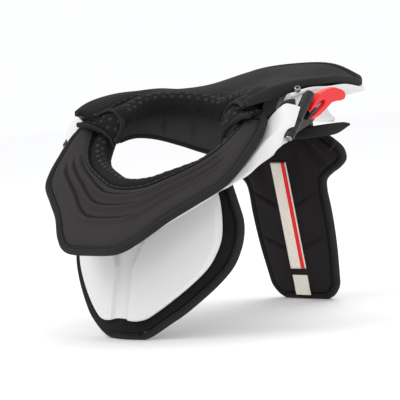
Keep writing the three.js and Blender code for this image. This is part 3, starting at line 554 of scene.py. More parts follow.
class Bench:
    """Wires the nodes of one material."""

    def __init__(self, name: str) -> None:
        """Start a material with its plain shader.

        Args:
            name: the material's name.
        """
        self.material = bpy.data.materials.new(name)
        self.material.use_nodes = True
        self.tree = self.material.node_tree
        self.shader = self.tree.nodes["Principled BSDF"]

    def feed(self, target: Socket, value: object) -> None:
        """Give a socket its value.

        Args:
            target: the socket.
            value: another socket, a number, a list for a vector or a tuple for a colour.
        """
        if isinstance(value, Socket):
            self.tree.links.new(value, target)
        else:
            target.default_value = (*value, 1.0) if isinstance(value, tuple) else value

    def node(
        self, kind: str, result: str | int, inputs: dict[str | int, object], **values: object
    ) -> Socket:
        """What a new node gives.

        Args:
            kind: the node's type.
            result: the output wanted.
            inputs: what its sockets are fed.
            values: its own attributes.

        Returns:
            The output.
        """
        node = self.tree.nodes.new(f"ShaderNode{kind}")
        for key, value in values.items():
            setattr(node, key, value)
        for key, value in inputs.items():
            self.feed(node.inputs[key], value)
        return node.outputs[result]

    def flat(self) -> Socket:
        """The cloth's own layout in millimetres."""
        return self.node("UVMap", "UV", {}, uv_map=LAYOUT)

    def solid(self) -> Socket:
        """Places on the object in millimetres."""
        place = self.node("TexCoord", "Object", {})
        return self.node("Mapping", "Vector", {"Vector": place, "Scale": [1000.0, 1000.0, 1000.0]})

    def noise(self, place: Socket, size: float, detail: float = 3.0) -> Socket:
        """Soft noise whose spots are about size millimetres across."""
        inputs = {"Vector": place, "Scale": 1.0 / size, "Detail": detail, "Roughness": 0.6}
        return self.node("TexNoise", "Fac", inputs)

    def bands(self, place: Socket, pitch: float, axis: str) -> Socket:
        """Even waves a pitch apart along X or Y."""
        inputs = {"Vector": place, "Scale": WAVE_SCALE / pitch, "Distortion": 0.35, "Detail": 1.0}
        return self.node("TexWave", "Fac", inputs, bands_direction=axis)

    def math(self, operation: str, a: object, b: object) -> Socket:
        """Two values, sockets or numbers, combined."""
        return self.node("Math", 0, {0: a, 1: b}, operation=operation)

    def ranged(self, value: Socket, low: float, high: float) -> Socket:
        """A value from 0 to 1 spread between low and high."""
        return self.node("MapRange", "Result", {"Value": value, "To Min": low, "To Max": high})

    def contrast(self, value: Socket, low: float, high: float) -> Socket:
        """A value made black below low and white above high.

        Args:
            value: the value.
            low: where black ends.
            high: where white starts.

        Returns:
            The grey between them.
        """
        grey = self.node("ValToRGB", "Color", {"Fac": value})
        for element, at, tone in zip(grey.node.color_ramp.elements, (low, high), (0.0, 1.0)):
            element.position = at
            element.color = (tone, tone, tone, 1.0)
        return grey

    def blended(self, share: Socket, a: object, b: object) -> Socket:
        """Two colours, sockets or fixed ones, blended by a share."""
        return self.node("Mix", 2, {0: share, 6: a, 7: b}, data_type="RGBA")

    def relief(self, height: Socket, depth: float) -> Socket:
        """Directions of a surface raised by a height, depth in millimetres."""
        return self.node("Bump", "Normal", {"Height": height, "Strength": 1.0, "Distance": depth / 1000.0})

    def shade(self, **values: object) -> None:
        """Sockets, numbers or colours on the shader's own sockets."""
        for key, value in values.items():
            self.feed(self.shader.inputs[key.replace("_", " ")], value)


@dataclass(frozen=True)
class Finish:
    """What a surface is made of, and the slot of the part that it fills."""

    name: str
    slot: str
    colour: Triple
    tint: Triple

    def material(self) -> bpy.types.Material:
        """The finish as a material, made once."""
        return bpy.data.materials.get(self.name) or self.wired()

    def wired(self) -> bpy.types.Material:
        """The new material, which each kind of finish wires in its own way."""
        raise NotImplementedError


@dataclass(frozen=True)
class Cloth(Finish):
    """A woven, knitted or pile surface."""

    weave: Weave
    pitch: float
    depth: float
    rough: Pair = (0.72, 0.92)
    sheen: float = 0.02
    gloss: float = 0.1
    stripe: Pair | None = None
    stripe_colour: Triple = (1.0, 0.028, 0.038)
    patch_size: float = 26.0
    lint_size: float = 1.1

    def height(self, bench: Bench, flat: Socket) -> Socket:
        """The weave's own height.

        Args:
            bench: where the material is wired.
            flat: the cloth's layout.

        Returns:
            A height from 0 to 1.
        """
        if self.weave is Weave.MESH:
            inputs = {"Vector": flat, "Scale": 1.0 / self.pitch, "Randomness": 0.25}
            return bench.math("MULTIPLY", bench.node("TexVoronoi", "Distance", inputs), 1.4)
        if self.weave is Weave.PILE:
            return bench.noise(flat, self.pitch, 7.0)
        lengthwise = bench.bands(flat, self.pitch, "Y")
        if self.weave is Weave.RIB:
            fuzz = bench.ranged(bench.noise(flat, 0.7), 0.0, 0.25)
            return bench.math("ADD", bench.ranged(lengthwise, 0.0, 0.75), fuzz)
        return bench.math("MULTIPLY", lengthwise, bench.bands(flat, self.pitch, "X"))

    def striped(self, bench: Bench, flat: Socket, ground: Socket) -> Socket:
        """A woven stripe between two distances across the cloth.

        Args:
            bench: where the material is wired.
            flat: the cloth's layout.
            ground: the colour beside the stripe.

        Returns:
            The colour of cloth and stripe.
        """
        low, high = self.stripe
        across = bench.node("SeparateXYZ", 0, {0: flat})
        above = bench.math("GREATER_THAN", across, low)
        inside = bench.math("MULTIPLY", above, bench.math("LESS_THAN", across, high))
        return bench.blended(inside, ground, self.stripe_colour)

    def wired(self) -> bpy.types.Material:
        """Wire faded patches, lint, the weave and a stripe.

        Returns:
            The material.
        """
        bench = Bench(self.name)
        flat, solid = bench.flat(), bench.solid()
        height = self.height(bench, flat)
        patches = bench.noise(solid, self.patch_size, 4.0)
        tone = bench.blended(bench.contrast(patches, 0.3, 0.7), self.tint, self.colour)
        worn = bench.ranged(height, 0.75, 1.25)
        lint = bench.math("MULTIPLY", bench.noise(solid, self.lint_size, 2.0), worn)
        colour = bench.blended(bench.ranged(lint, 0.0, 0.55), tone, tuple(1.7 * c for c in self.colour))
        if self.stripe is not None:
            colour = self.striped(bench, flat, colour)
        bench.shade(
            Base_Color=colour,
            Roughness=bench.ranged(patches, *self.rough),
            Normal=bench.relief(height, self.depth),
            Sheen_Weight=self.sheen,
            Sheen_Roughness=0.5,
            Specular_IOR_Level=self.gloss,
        )
        return bench.material


@dataclass(frozen=True)
class Moulding(Finish):
    """An injection-moulded plastic."""

    rough: Pair
    grain: float
    depth: float
    ior: float
    cloud_size: float = 38.0
    smear_size: float = 9.0

    def wired(self) -> bpy.types.Material:
        """Wire faint clouding, handling marks and moulded grain.

        Returns:
            The material.
        """
        bench = Bench(self.name)
        solid = bench.solid()
        clouds = bench.noise(solid, self.cloud_size, 4.0)
        smears = bench.ranged(bench.noise(solid, self.smear_size, 6.0), 0.0, 0.7)
        marks = bench.math("ADD", smears, bench.ranged(clouds, 0.0, 0.3))
        bench.shade(
            Base_Color=bench.blended(bench.contrast(clouds, 0.35, 0.7), self.colour, self.tint),
            Roughness=bench.ranged(marks, *self.rough),
            Normal=bench.relief(bench.noise(solid, self.grain, 2.0), self.depth),
            IOR=self.ior,
        )
        return bench.material


@dataclass(frozen=True)
class Metal(Finish):
    """Bright turned steel."""

    rough: Pair

    def wired(self) -> bpy.types.Material:
        """Wire fine turning marks and a little tarnish.

        Returns:
            The material.
        """
        bench = Bench(self.name)
        solid = bench.solid()
        bench.shade(
            Base_Color=bench.blended(bench.noise(solid, 2.2, 5.0), self.colour, self.tint),
            Roughness=bench.ranged(bench.noise(solid, 0.5, 4.0), *self.rough),
            Normal=bench.relief(bench.noise(solid, 0.25, 2.0), 0.02),
            Metallic=1.0,
        )
        return bench.material


# Each cloth: name, slot, colour, tint of its faded patches, weave, pitch and depth of the weave
COLLAR_CLOTH = Cloth(
    "collar_knit", "pad_fabric", (0.029, 0.0255, 0.0265), (0.022, 0.0195, 0.0203), Weave.KNIT, 0.9, 0.12
)
PAD_CLOTH = Cloth(
    "pad_knit", "pad_fabric", (0.0185, 0.0158, 0.016), (0.0135, 0.0118, 0.012), Weave.KNIT, 0.9, 0.14
)
SKIRT_CLOTH = Cloth(
    "skirt_knit", "pad_fabric", (0.046, 0.044, 0.046), (0.034, 0.033, 0.034), Weave.KNIT, 0.9, 0.14
)
TABLE_CLOTH = Cloth(
    "table_knit", "pad_fabric", (0.0135, 0.0128, 0.0132), (0.0105, 0.01, 0.0103), Weave.KNIT, 0.8, 0.1
)
ROLL_CLOTH = Cloth(
    "roll_mesh", "roll_fabric", (0.0095, 0.0095, 0.0098), (0.006, 0.006, 0.0062), Weave.MESH, 1.3, 0.3
)
PILE_CLOTH = Cloth(
    "loop_pile", "pad_fabric", (0.0095, 0.0095, 0.0095), (0.005, 0.005, 0.005), Weave.PILE, 0.8, 0.7
)
TAPE = Cloth(
    "binding_tape", "binding", (0.0195, 0.0208, 0.0198), (0.014, 0.015, 0.0143), Weave.RIB, 1.0, 0.18
)
THREAD = Cloth(
    "sewing_thread", "binding", (0.006, 0.006, 0.006), (0.0035, 0.0035, 0.0035), Weave.RIB, 0.4, 0.1
)
# Eyelet rims: eyelet_rim is a pale copy painted on the rims that face up as a painted highlight,
# dark_eyelet_rim the same rim left dark; eyelet_rim also colours two rows of seam stitches
EYELET_RIM = Cloth(
    "eyelet_rim", "roll_fabric", (0.1, 0.094, 0.08), (0.02, 0.019, 0.018), Weave.RIB, 0.5, 0.05
)
DARK_RIM = Cloth(
    "dark_eyelet_rim", "roll_fabric", (0.012, 0.012, 0.012), (0.007, 0.007, 0.007), Weave.RIB, 0.5, 0.05
)
# A flat disc across each eyelet's hole, painted near black as the shade inside the hole
HOLE_SHADE = Cloth(
    "eyelet_hole_shade", "roll_fabric", (0.004, 0.004, 0.004), (0.002, 0.002, 0.002), Weave.PILE, 0.4, 0.2
)
TAG_CLOTH = Cloth(
    "tag_ribbon", "tag_cloth", (0.94, 0.86, 0.76), (0.86, 0.78, 0.68), Weave.PLAIN, 0.5, 0.08,
    rough=(0.6, 0.8), sheen=0.05, gloss=0.2, stripe=(12.6, 17.4),
)
PLAIN_TAG = Cloth(
    "plain_ribbon", "tag_cloth", (0.86, 0.82, 0.74), (0.78, 0.74, 0.66), Weave.PLAIN, 0.5, 0.08,
    rough=(0.6, 0.8), sheen=0.05,
)
# Each moulding: name, slot, colour, tint of its clouding, roughness, grain, depth of the grain, refraction
WHITE = Moulding(
    "white_moulding", "white_plastic", (0.715, 0.718, 0.705), (0.7, 0.702, 0.692),
    (0.36, 0.4), 0.5, 0.001, 1.45,
)
BLACK = Moulding(
    "black_moulding", "black_plastic", (0.011, 0.0115, 0.012), (0.018, 0.0185, 0.019),
    (0.34, 0.5), 0.3, 0.05, 1.38,
)
RED = Moulding(
    "red_moulding", "red_plastic", (0.84, 0.02, 0.026), (0.76, 0.016, 0.021),
    (0.34, 0.46), 0.35, 0.02, 1.33,
)
STEEL = Metal("bright_steel", "steel", (0.45, 0.43, 0.39), (0.24, 0.23, 0.21), (0.2, 0.42))


def dress(
    obj: Piece,
    finishes: Sequence[Finish],
    body: str = "brace",
    nodes: Sequence[str] = (),
) -> Piece:
    """Give a piece its finish and its place on the part.

    Args:
        obj: the piece.
        finishes: one finish for each of its material slots.
        body: the body that carries it.
        nodes: solids that it stands for.

    Returns:
        The same piece.
    """
    for finish in finishes:
        obj.data.materials.append(finish.material())
    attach(obj, body)
    if nodes:
        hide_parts(*nodes)
    LOG.info("%s: %d faces on %s", obj.name, len(obj.data.polygons), body)
    return obj


def apply_modifiers(obj: Piece) -> None:
    """Keep what an object's modifiers make, and drop the modifiers.

    Args:
        obj: the object.
    """
    view = bpy.context.evaluated_depsgraph_get()
    mesh = bpy.data.meshes.new_from_object(obj.evaluated_get(view))
    obj.modifiers.clear()
    old, obj.data = obj.data, mesh
    bpy.data.meshes.remove(old)


def hollowed(obj: Piece, tools: Sequence[Shell], sharp: float) -> Piece:
    """Cut tools out of a piece, in order.

    Args:
        obj: the piece.
        tools: the closed surfaces to cut out.
        sharp: angle in degrees above which an edge stays crisp.

    Returns:
        The same piece.
    """
    for k, shell in enumerate(tools):
        other = shell.make(f"{obj.name}_tool_{k}")
        modifier = obj.modifiers.new("tool", "BOOLEAN")
        modifier.operation, modifier.object, modifier.solver = "DIFFERENCE", other, "MANIFOLD"
        apply_modifiers(obj)
        bpy.data.objects.remove(other)
    obj.data.materials.clear()
    obj.data.set_sharp_from_angle(angle=math.radians(sharp))
    return obj


def remoulded(node: str, name: str, voxel: float, passes: int) -> Piece:
    """A small moulding with eased edges, made from its solid.

    Args:
        node: the solid.
        name: the new piece's name.
        voxel: fineness of its surface in millimetres.
        passes: how often its edges are eased.

    Returns:
        The new object.
    """
    obj = bpy.data.objects.new(name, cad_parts[node].data.copy())
    bpy.context.scene.collection.objects.link(obj)
    obj.data.materials.clear()
    remesh = obj.modifiers.new("even", "REMESH")
    remesh.mode, remesh.voxel_size = "VOXEL", voxel / 1000.0
    ease = obj.modifiers.new("ease", "SMOOTH")
    ease.factor, ease.iterations = 0.5, passes
    apply_modifiers(obj)
    obj.data.polygons.foreach_set("use_smooth", [True] * len(obj.data.polygons))
    return obj


def inside_edge(inner: Array, outer: Array, width: float) -> Array:
    """A line that runs inside a pad's outer edge.

    Args:
        inner: points along the pad's inner edge.
        outer: the points across from them on its outer edge.
        width: how far the line lies inside the outer edge.

    Returns:
        The line's points.
    """
    span = outer - inner
    square = np.linalg.norm(np.cross(unit(span), tangents(outer)), axis=1)
    share = 1 - width / (np.linalg.norm(span, axis=1) * np.maximum(square, 0.4))
    return inner + span * share[:, None]


def between(inner: Array, outer: Array, share: Array) -> Array:
    """Points between two edges, one row of them for each section."""
    return inner[:, None] + (outer - inner)[:, None] * share[..., None]


def half_outline(rows: Table, count: int, inset: float) -> Array:
    """Half of a pad's outline from the middle of its foot up one side.

    Args:
        rows: height, half width and how far the edge lifts.
        count: points up the side.
        inset: how far the line lies inside the edge.

    Returns:
        Rows of X and Z.
    """
    side = spline(rows, np.linspace(0, 1, count))
    line = np.stack([side[:, 1], side[:, 0] + side[:, 2]], axis=1)
    level = np.linspace(0, line[0, 0] * FOOT_LEVEL, FOOT_POINTS)
    foot = np.stack([level, np.full(FOOT_POINTS, line[0, 1])], axis=1)
    full = np.vstack([foot, line])
    ahead = tangents(full)
    moved = full + inset * np.stack([-ahead[:, 1], ahead[:, 0]], axis=1)
    moved[0, 0] = 0
    return moved


def full_outline(half: Array) -> Array:
    """The outline down one side, along the foot and up the other."""
    return np.vstack([half[:0:-1] * (-1, 1), half])


def web(edge: Array, path: Array, radius: Array, thick: float = 1.4) -> Shell:
    """The strip of cloth that joins a pad's inner edge to its roll.

    Args:
        edge: points along the pad's inner edge.
        path: the roll's middle line, from the same end.
        radius: the roll's radius at each point of its line.
        thick: the strip's thickness.

    Returns:
        The closed surface.
    """
    nearest = np.linalg.norm(edge[:, None] - path[None], axis=2).argmin(axis=1)
    middle = path[nearest]
    foot = middle + unit(edge - middle) * (radius[nearest][:, None] - 0.8)
    lift = unit(np.cross(tangents(edge), unit(foot - edge))) * thick / 2
    corners = np.stack([edge + lift, edge - lift, foot - lift, foot + lift], axis=1)
    return loft(rounded(corners, (0.6, 0.6, 0.6, 0.6), 4))


def sew_edge(name: str, node: str, path: Array, up: Array, thick: float, faces: tuple[str, str]) -> None:
    """Bound edge of a pad, with stitches on both faces.

    Args:
        name: the pad's name.
        node: the solid that the edge stands for.
        path: middle line of the edge.
        up: the direction that the pad's first face looks in.
        thick: the edge's thickness.
        faces: what the two faces are called.
    """
    tape = bound_edge(path, up, BINDING_WIDTH, thick)
    dress(tape.make(f"{name}_tape"), [TAPE], nodes=[node])
    across = sideways(path, up)
    for face, sign in zip(faces, (1, -1)):
        line = path - across * STITCH_LINE * BINDING_WIDTH + up * sign * (thick / 2 - SUNK)
        dress(stitches(line, up * sign).make(f"{name}_stitches_{face}"), [THREAD])


@dataclass
class FrontCollar:
    """Sloping front pad, its bound edge and the perforated roll inside it."""

    rise: float = 0.93
    height: float = 183.5
    thick: float = 11.0
    edge_thick: float = 6.5
    lip: float = 3.8
    lip_reach: float = 0.14
    crown: float = 2.6
    shoulder: float = 1.2
    binding_thick: float = 7.0
    binding_raise: float = 0.4
    tip_binding: float = 5.0
    # Out from the pad's inner edge and down: the joining cloth's edge, the seam's tape and its stitches
    web_at: Pair = (1.5, 1.6)
    seam_tape_at: Pair = (-0.5, 0.9)
    seam_thread_at: Pair = (-0.7, 0.1)
    seam_tape: float = 1.7
    roll_radius: float = 10.5
    eyelet_space: float = 8.4
    # Degrees round the roll of the eyelets whose rims are painted pale as a painted highlight, then of the
    # others
    bright_lines: tuple[float, ...] = (84, 112)
    dark_lines: tuple[float, ...] = (140, 168, 196, 224)
    # Places of the grooves across the pad, their depth and half width, height and reach of the beads
    grooves: tuple[float, ...] = (0.12, 0.32, 0.54)
    crease: Pair = (2.8, 1.4)
    bead: Triple = (2.5, 1.2, 6.4)
    # Columns: X and Y of the bound edge round the tip, outer side to inner side
    tip_rows: Table = ((108.5, -6.5), (106.5, -3), (102, -1.6), (97, -2), (93.5, -4), (91.5, -7.5))
    # Columns: inner X and Y, outer X and Y, roll inset, roll sink, roll size, crease, bead
    rows: Table = (
        (0, -60, 0, -112.5, 7.7, 9, 0.81, 1, 1),
        (20, -58, 29, -111, 7.7, 9.2, 0.81, 1, 1),
        (37, -52, 46, -102, 7.3, 10.2, 0.84, 1, 1),
        (51, -46, 65, -85, 6.4, 12.2, 0.92, 1, 0.95),
        (63, -40, 85, -71, 5.6, 14, 1, 0.9, 0.75),
        (72.5, -33, 103, -58, 5.5, 14, 1, 0.75, 0.6),
        (80, -25, 110, -45, 6, 14, 1, 0, 0),
        (85, -17, 112.5, -28, 7, 14, 0.98, 0, 0),
        (88.5, -10, 113, -14, 8, 14.3, 0.93, 0, 0),
        (91, -5.5, 110, -4, 9, 14.5, 0.87, 0, 0),
    )

    @property
    def up(self) -> Array:
        """The sloping pad's own upward direction."""
        return unit(np.array((0.0, -self.rise, 1.0)))

    @property
    def tape_level(self) -> Array:
        """From the sloping plane to the bound edge's middle line."""
        return self.up * (self.binding_raise - self.binding_thick / 2)

    def on_slope(self, plan: Array) -> Array:
        """Plan points on the sloping plane."""
        return np.column_stack([plan, self.height + self.rise * plan[:, 1]])

    def sections(self, places: Array) -> tuple[Array, Array, Array]:
        """Inner edge, outer edge and the table's rows at some places."""
        rows = spline(whole(self.rows, (0, 2)), places)
        return self.on_slope(rows[:, 0:2]), self.on_slope(rows[:, 2:4]), rows

    def relief(self, v: Array, width: Array, rows: Array) -> Array:
        """Height of the pad's upper face.

        Args:
            v: places across the pad.
            width: the pad's width at each section.
            rows: the table's rows.

        Returns:
            Heights, sections by places.
        """
        top = self.crown * (1 - (2 * v - 1) ** 4) - self.shoulder
        heights = np.broadcast_to(top, (len(width), len(v))).copy()
        for at in self.grooves:
            away = (v[None] - at) * width[:, None]
            heights -= self.crease[0] * rows[:, 7:8] * bell(away, self.crease[1])
            past = np.maximum(away, 0)
            swell = (1 - bell(past, self.bead[1])) * np.exp(-((past / self.bead[2]) ** 4))
            heights += self.bead[0] * rows[:, 8:9] * swell
        return heights

    def pad(self) -> Shell:
        """The grooved pad.

        Returns:
            The closed surface.
        """
        places, columns = dense_ends(220, 0.3), dense_ends(110, 0.45)
        inner, outer, rows = self.sections(places)
        tape = inside_edge(inner, outer, BINDING_WIDTH / 2)
        edge = tape - sideways(tape, self.up) * (BINDING_WIDTH / 2 - SEAM)
        base = between(inner, edge, columns)
        width = np.linalg.norm(outer - inner, axis=1)
        body = self.thick - (self.thick - self.edge_thick) * columns**2
        lip = self.lip + (self.thick - self.lip) * np.minimum(1, columns / self.lip_reach)
        front = base + self.up * self.relief(columns, width, rows)[..., None]
        back = base - self.up * np.minimum(body, lip)[None, :, None]
        return pillow(front, back, places, columns, (30, 120))

    def off_seam(self, inner: Array, shift: Pair) -> Array:
        """The pad's inner edge moved out and down."""
        return inner + sideways(inner, self.up) * shift[0] - self.up * shift[1]

    def roll_line(self, count: int) -> tuple[Array, Array]:
        """Middle line of the roll.

        Args:
            count: points along the line.

        Returns:
            The line, and the roll's radius at each of its points.
        """
        inner, _, rows = self.sections(np.linspace(0, 1, count))
        path = inner - sideways(inner, self.up) * rows[:, 4:5] - self.up * rows[:, 5:6]
        return path, self.roll_radius * rows[:, 6]

    def build(self) -> None:
        """Make and dress the collar's pieces."""
        pad = self.pad().make("collar_pad", merge=True)
        dress(pad, [COLLAR_CLOTH], nodes=["front_collar_pad"])
        inner, outer, _ = self.sections(np.linspace(0, 1, 300))
        path = inside_edge(inner, outer, BINDING_WIDTH / 2) + self.tape_level
        sew_edge("collar", "front_collar_binding", path, self.up, self.binding_thick, ("upper", "lower"))
        self.build_roll(inner)
        for side in Side:
            self.build_tip(side)

    def build_roll(self, inner: Array) -> None:
        """The perforated roll, the cloth that joins it to the pad, and the sewn tape on that seam.

        Args:
            inner: the pad's inner edge.
        """
        path, radius = self.roll_line(320)
        roll = PunchedRoll(path, radius, self.eyelet_space, 0.02)
        roll.build("front_roll", "front_neck_roll", self.bright_lines, self.dark_lines)
        strip = web(self.off_seam(inner, self.web_at), path, radius)
        dress(strip.make("collar_web"), [ROLL_CLOTH])
        line = self.off_seam(inner, self.seam_tape_at)
        tape = bound_edge(line, self.up, self.seam_tape, self.seam_tape, 0.0)
        dress(tape.make("collar_inner_tape"), [TAPE])
        thread = stitches(self.off_seam(inner, self.seam_thread_at), self.up, self.eyelet_space)
        dress(thread.make("collar_inner_stitches"), [EYELET_RIM])

    def build_tip(self, side: Side) -> None:
        """The bound edge carried round the collar's tip.

        Args:
            side: the wearer's side.
        """
        path = self.on_slope(spline(self.tip_rows, np.linspace(0, 1, 60))) + self.tape_level
        tape = bound_edge(path, self.up, self.tip_binding, self.binding_thick)
        dress(tape.on(side).make(f"collar_tip_tape_{side.word}"), [TAPE])


@dataclass
class PunchedRoll:
    """A padded roll with staggered eyelets that pull its cloth in."""

    path: Array
    radius: Array
    spacing: float
    bare: float
    # Depth and half width of the dimple round an eyelet, and the sections on each side that it reaches
    dimple: Pair = (0.75, 2.3)
    dimple_reach: int = 6
    # Height, length and start of the waves along the roll
    puckers: Table = ((0.006, 2.9, 0.0), (0.005, 6.7, 1.0))
    sides: int = 56

    def spots(self, angles: Sequence[float], shift: int = 0) -> list[tuple[int, float]]:
        """Section and angle of each eyelet.

        Args:
            angles: degrees round the roll, one for each line of eyelets.
            shift: which lines start half a space along.

        Returns:
            One pair for each eyelet.
        """
        run = travel(self.path)
        found = []
        for k, angle in enumerate(angles):
            first = run[-1] * self.bare + ((k + shift) % 2) * self.spacing / 2
            stops = np.arange(first, run[-1] * (1 - self.bare), self.spacing)
            index = np.round(np.interp(stops, run, np.arange(len(run)))).astype(int)
            found += [(int(i), math.radians(angle)) for i in index]
        return found

    def build(self, name: str, node: str, bright: Sequence[float], dark: Sequence[float]) -> None:
        """Make and dress the roll and its eyelets.

        Args:
            name: the roll's name.
            node: the solid that it stands for.
            bright: angles of the lines whose rims are painted pale as a painted highlight.
            dark: angles of the other lines.
        """
        rings, across, high = tube(self.path, self.radius, self.sides)
        lines = (
            (self.spots(bright), EYELET_RIM, "upper"),
            (self.spots(dark, len(bright)), DARK_RIM, "lower"),
        )
        spread = rings - self.path[:, None]
        run = travel(self.path)
        pucker = np.ones(len(run))
        for height, length, start in self.puckers:
            pucker += height * np.sin(run / length + start)
        sunk = np.zeros(rings.shape[:2])
        ahead = tangents(self.path)
        for spots, rim, word in lines:
            places, frames = [], []
            for index, turn in spots:
                normal = unit(across[index] * math.cos(turn) + high[index] * math.sin(turn))
                place = self.path[index] + normal * self.radius[index]
                near = slice(max(0, index - self.dimple_reach), index + self.dimple_reach + 1)
                away = np.linalg.norm(rings[near] - place, axis=2)
                sunk[near] = np.maximum(sunk[near], self.dimple[0] * bell(away, self.dimple[1]))
                places.append(place - normal * (self.dimple[0] - 0.1))
                frames.append([ahead[index], np.cross(normal, ahead[index]), normal])
            holes = scatter(eyelet_seed(), np.array(places), np.array(frames))
            dress(holes.make(f"{name}_eyelets_{word}"), [rim, HOLE_SHADE])
        size = pucker[:, None] - sunk / np.maximum(self.radius[:, None], 1)
        shell = loft(self.path[:, None] + spread * size[..., None])
        dress(shell.make(name), [ROLL_CLOTH], nodes=[node])


@dataclass
class LatchFrame:
    """The flat frame that a side latch is laid out in, on the wearer's left."""

    foot: Triple = (131.0, -0.32, 162.26)
    head: Triple = (130.0, 33.44, 198.06)
    face: Triple = (0.985, 0.137, -0.101)

    def __post_init__(self) -> None:
        """Work out the three directions."""
        self.along = unit(np.subtract(self.head, self.foot))
        self.behind = unit(np.cross(self.along, unit(np.array(self.face))))
        self.out = np.cross(self.behind, self.along)

    def at(self, along: float, behind: float = 0.0, out: float = 0.0) -> Array:
        """A place along the pin, behind it and out from it."""
        return np.array(self.foot) + self.along * along + self.behind * behind + self.out * out

    def plate(self, outline: Table, low: float, high: float) -> Shell:
        """A flat plate that lies along the frame.

        Args:
            outline: rows of distance along the pin and behind it.
            low: one face's height above the frame.
            high: the other face's height.

        Returns:
            The closed surface.
        """
        points = np.array([self.at(a, b, level) for level in (low, high) for a, b in outline])
        count = len(outline)
        faces = [[k, (k + 1) % count, count + (k + 1) % count, count + k] for k in range(count)]
        faces += [list(range(count))[::-1], list(range(count, 2 * count))]
        if enclosed(points, faces) < 0:
            faces = [face[::-1] for face in faces]
        return Shell(points, faces, np.zeros((sum(map(len, faces)), 2)))


LATCH = LatchFrame()


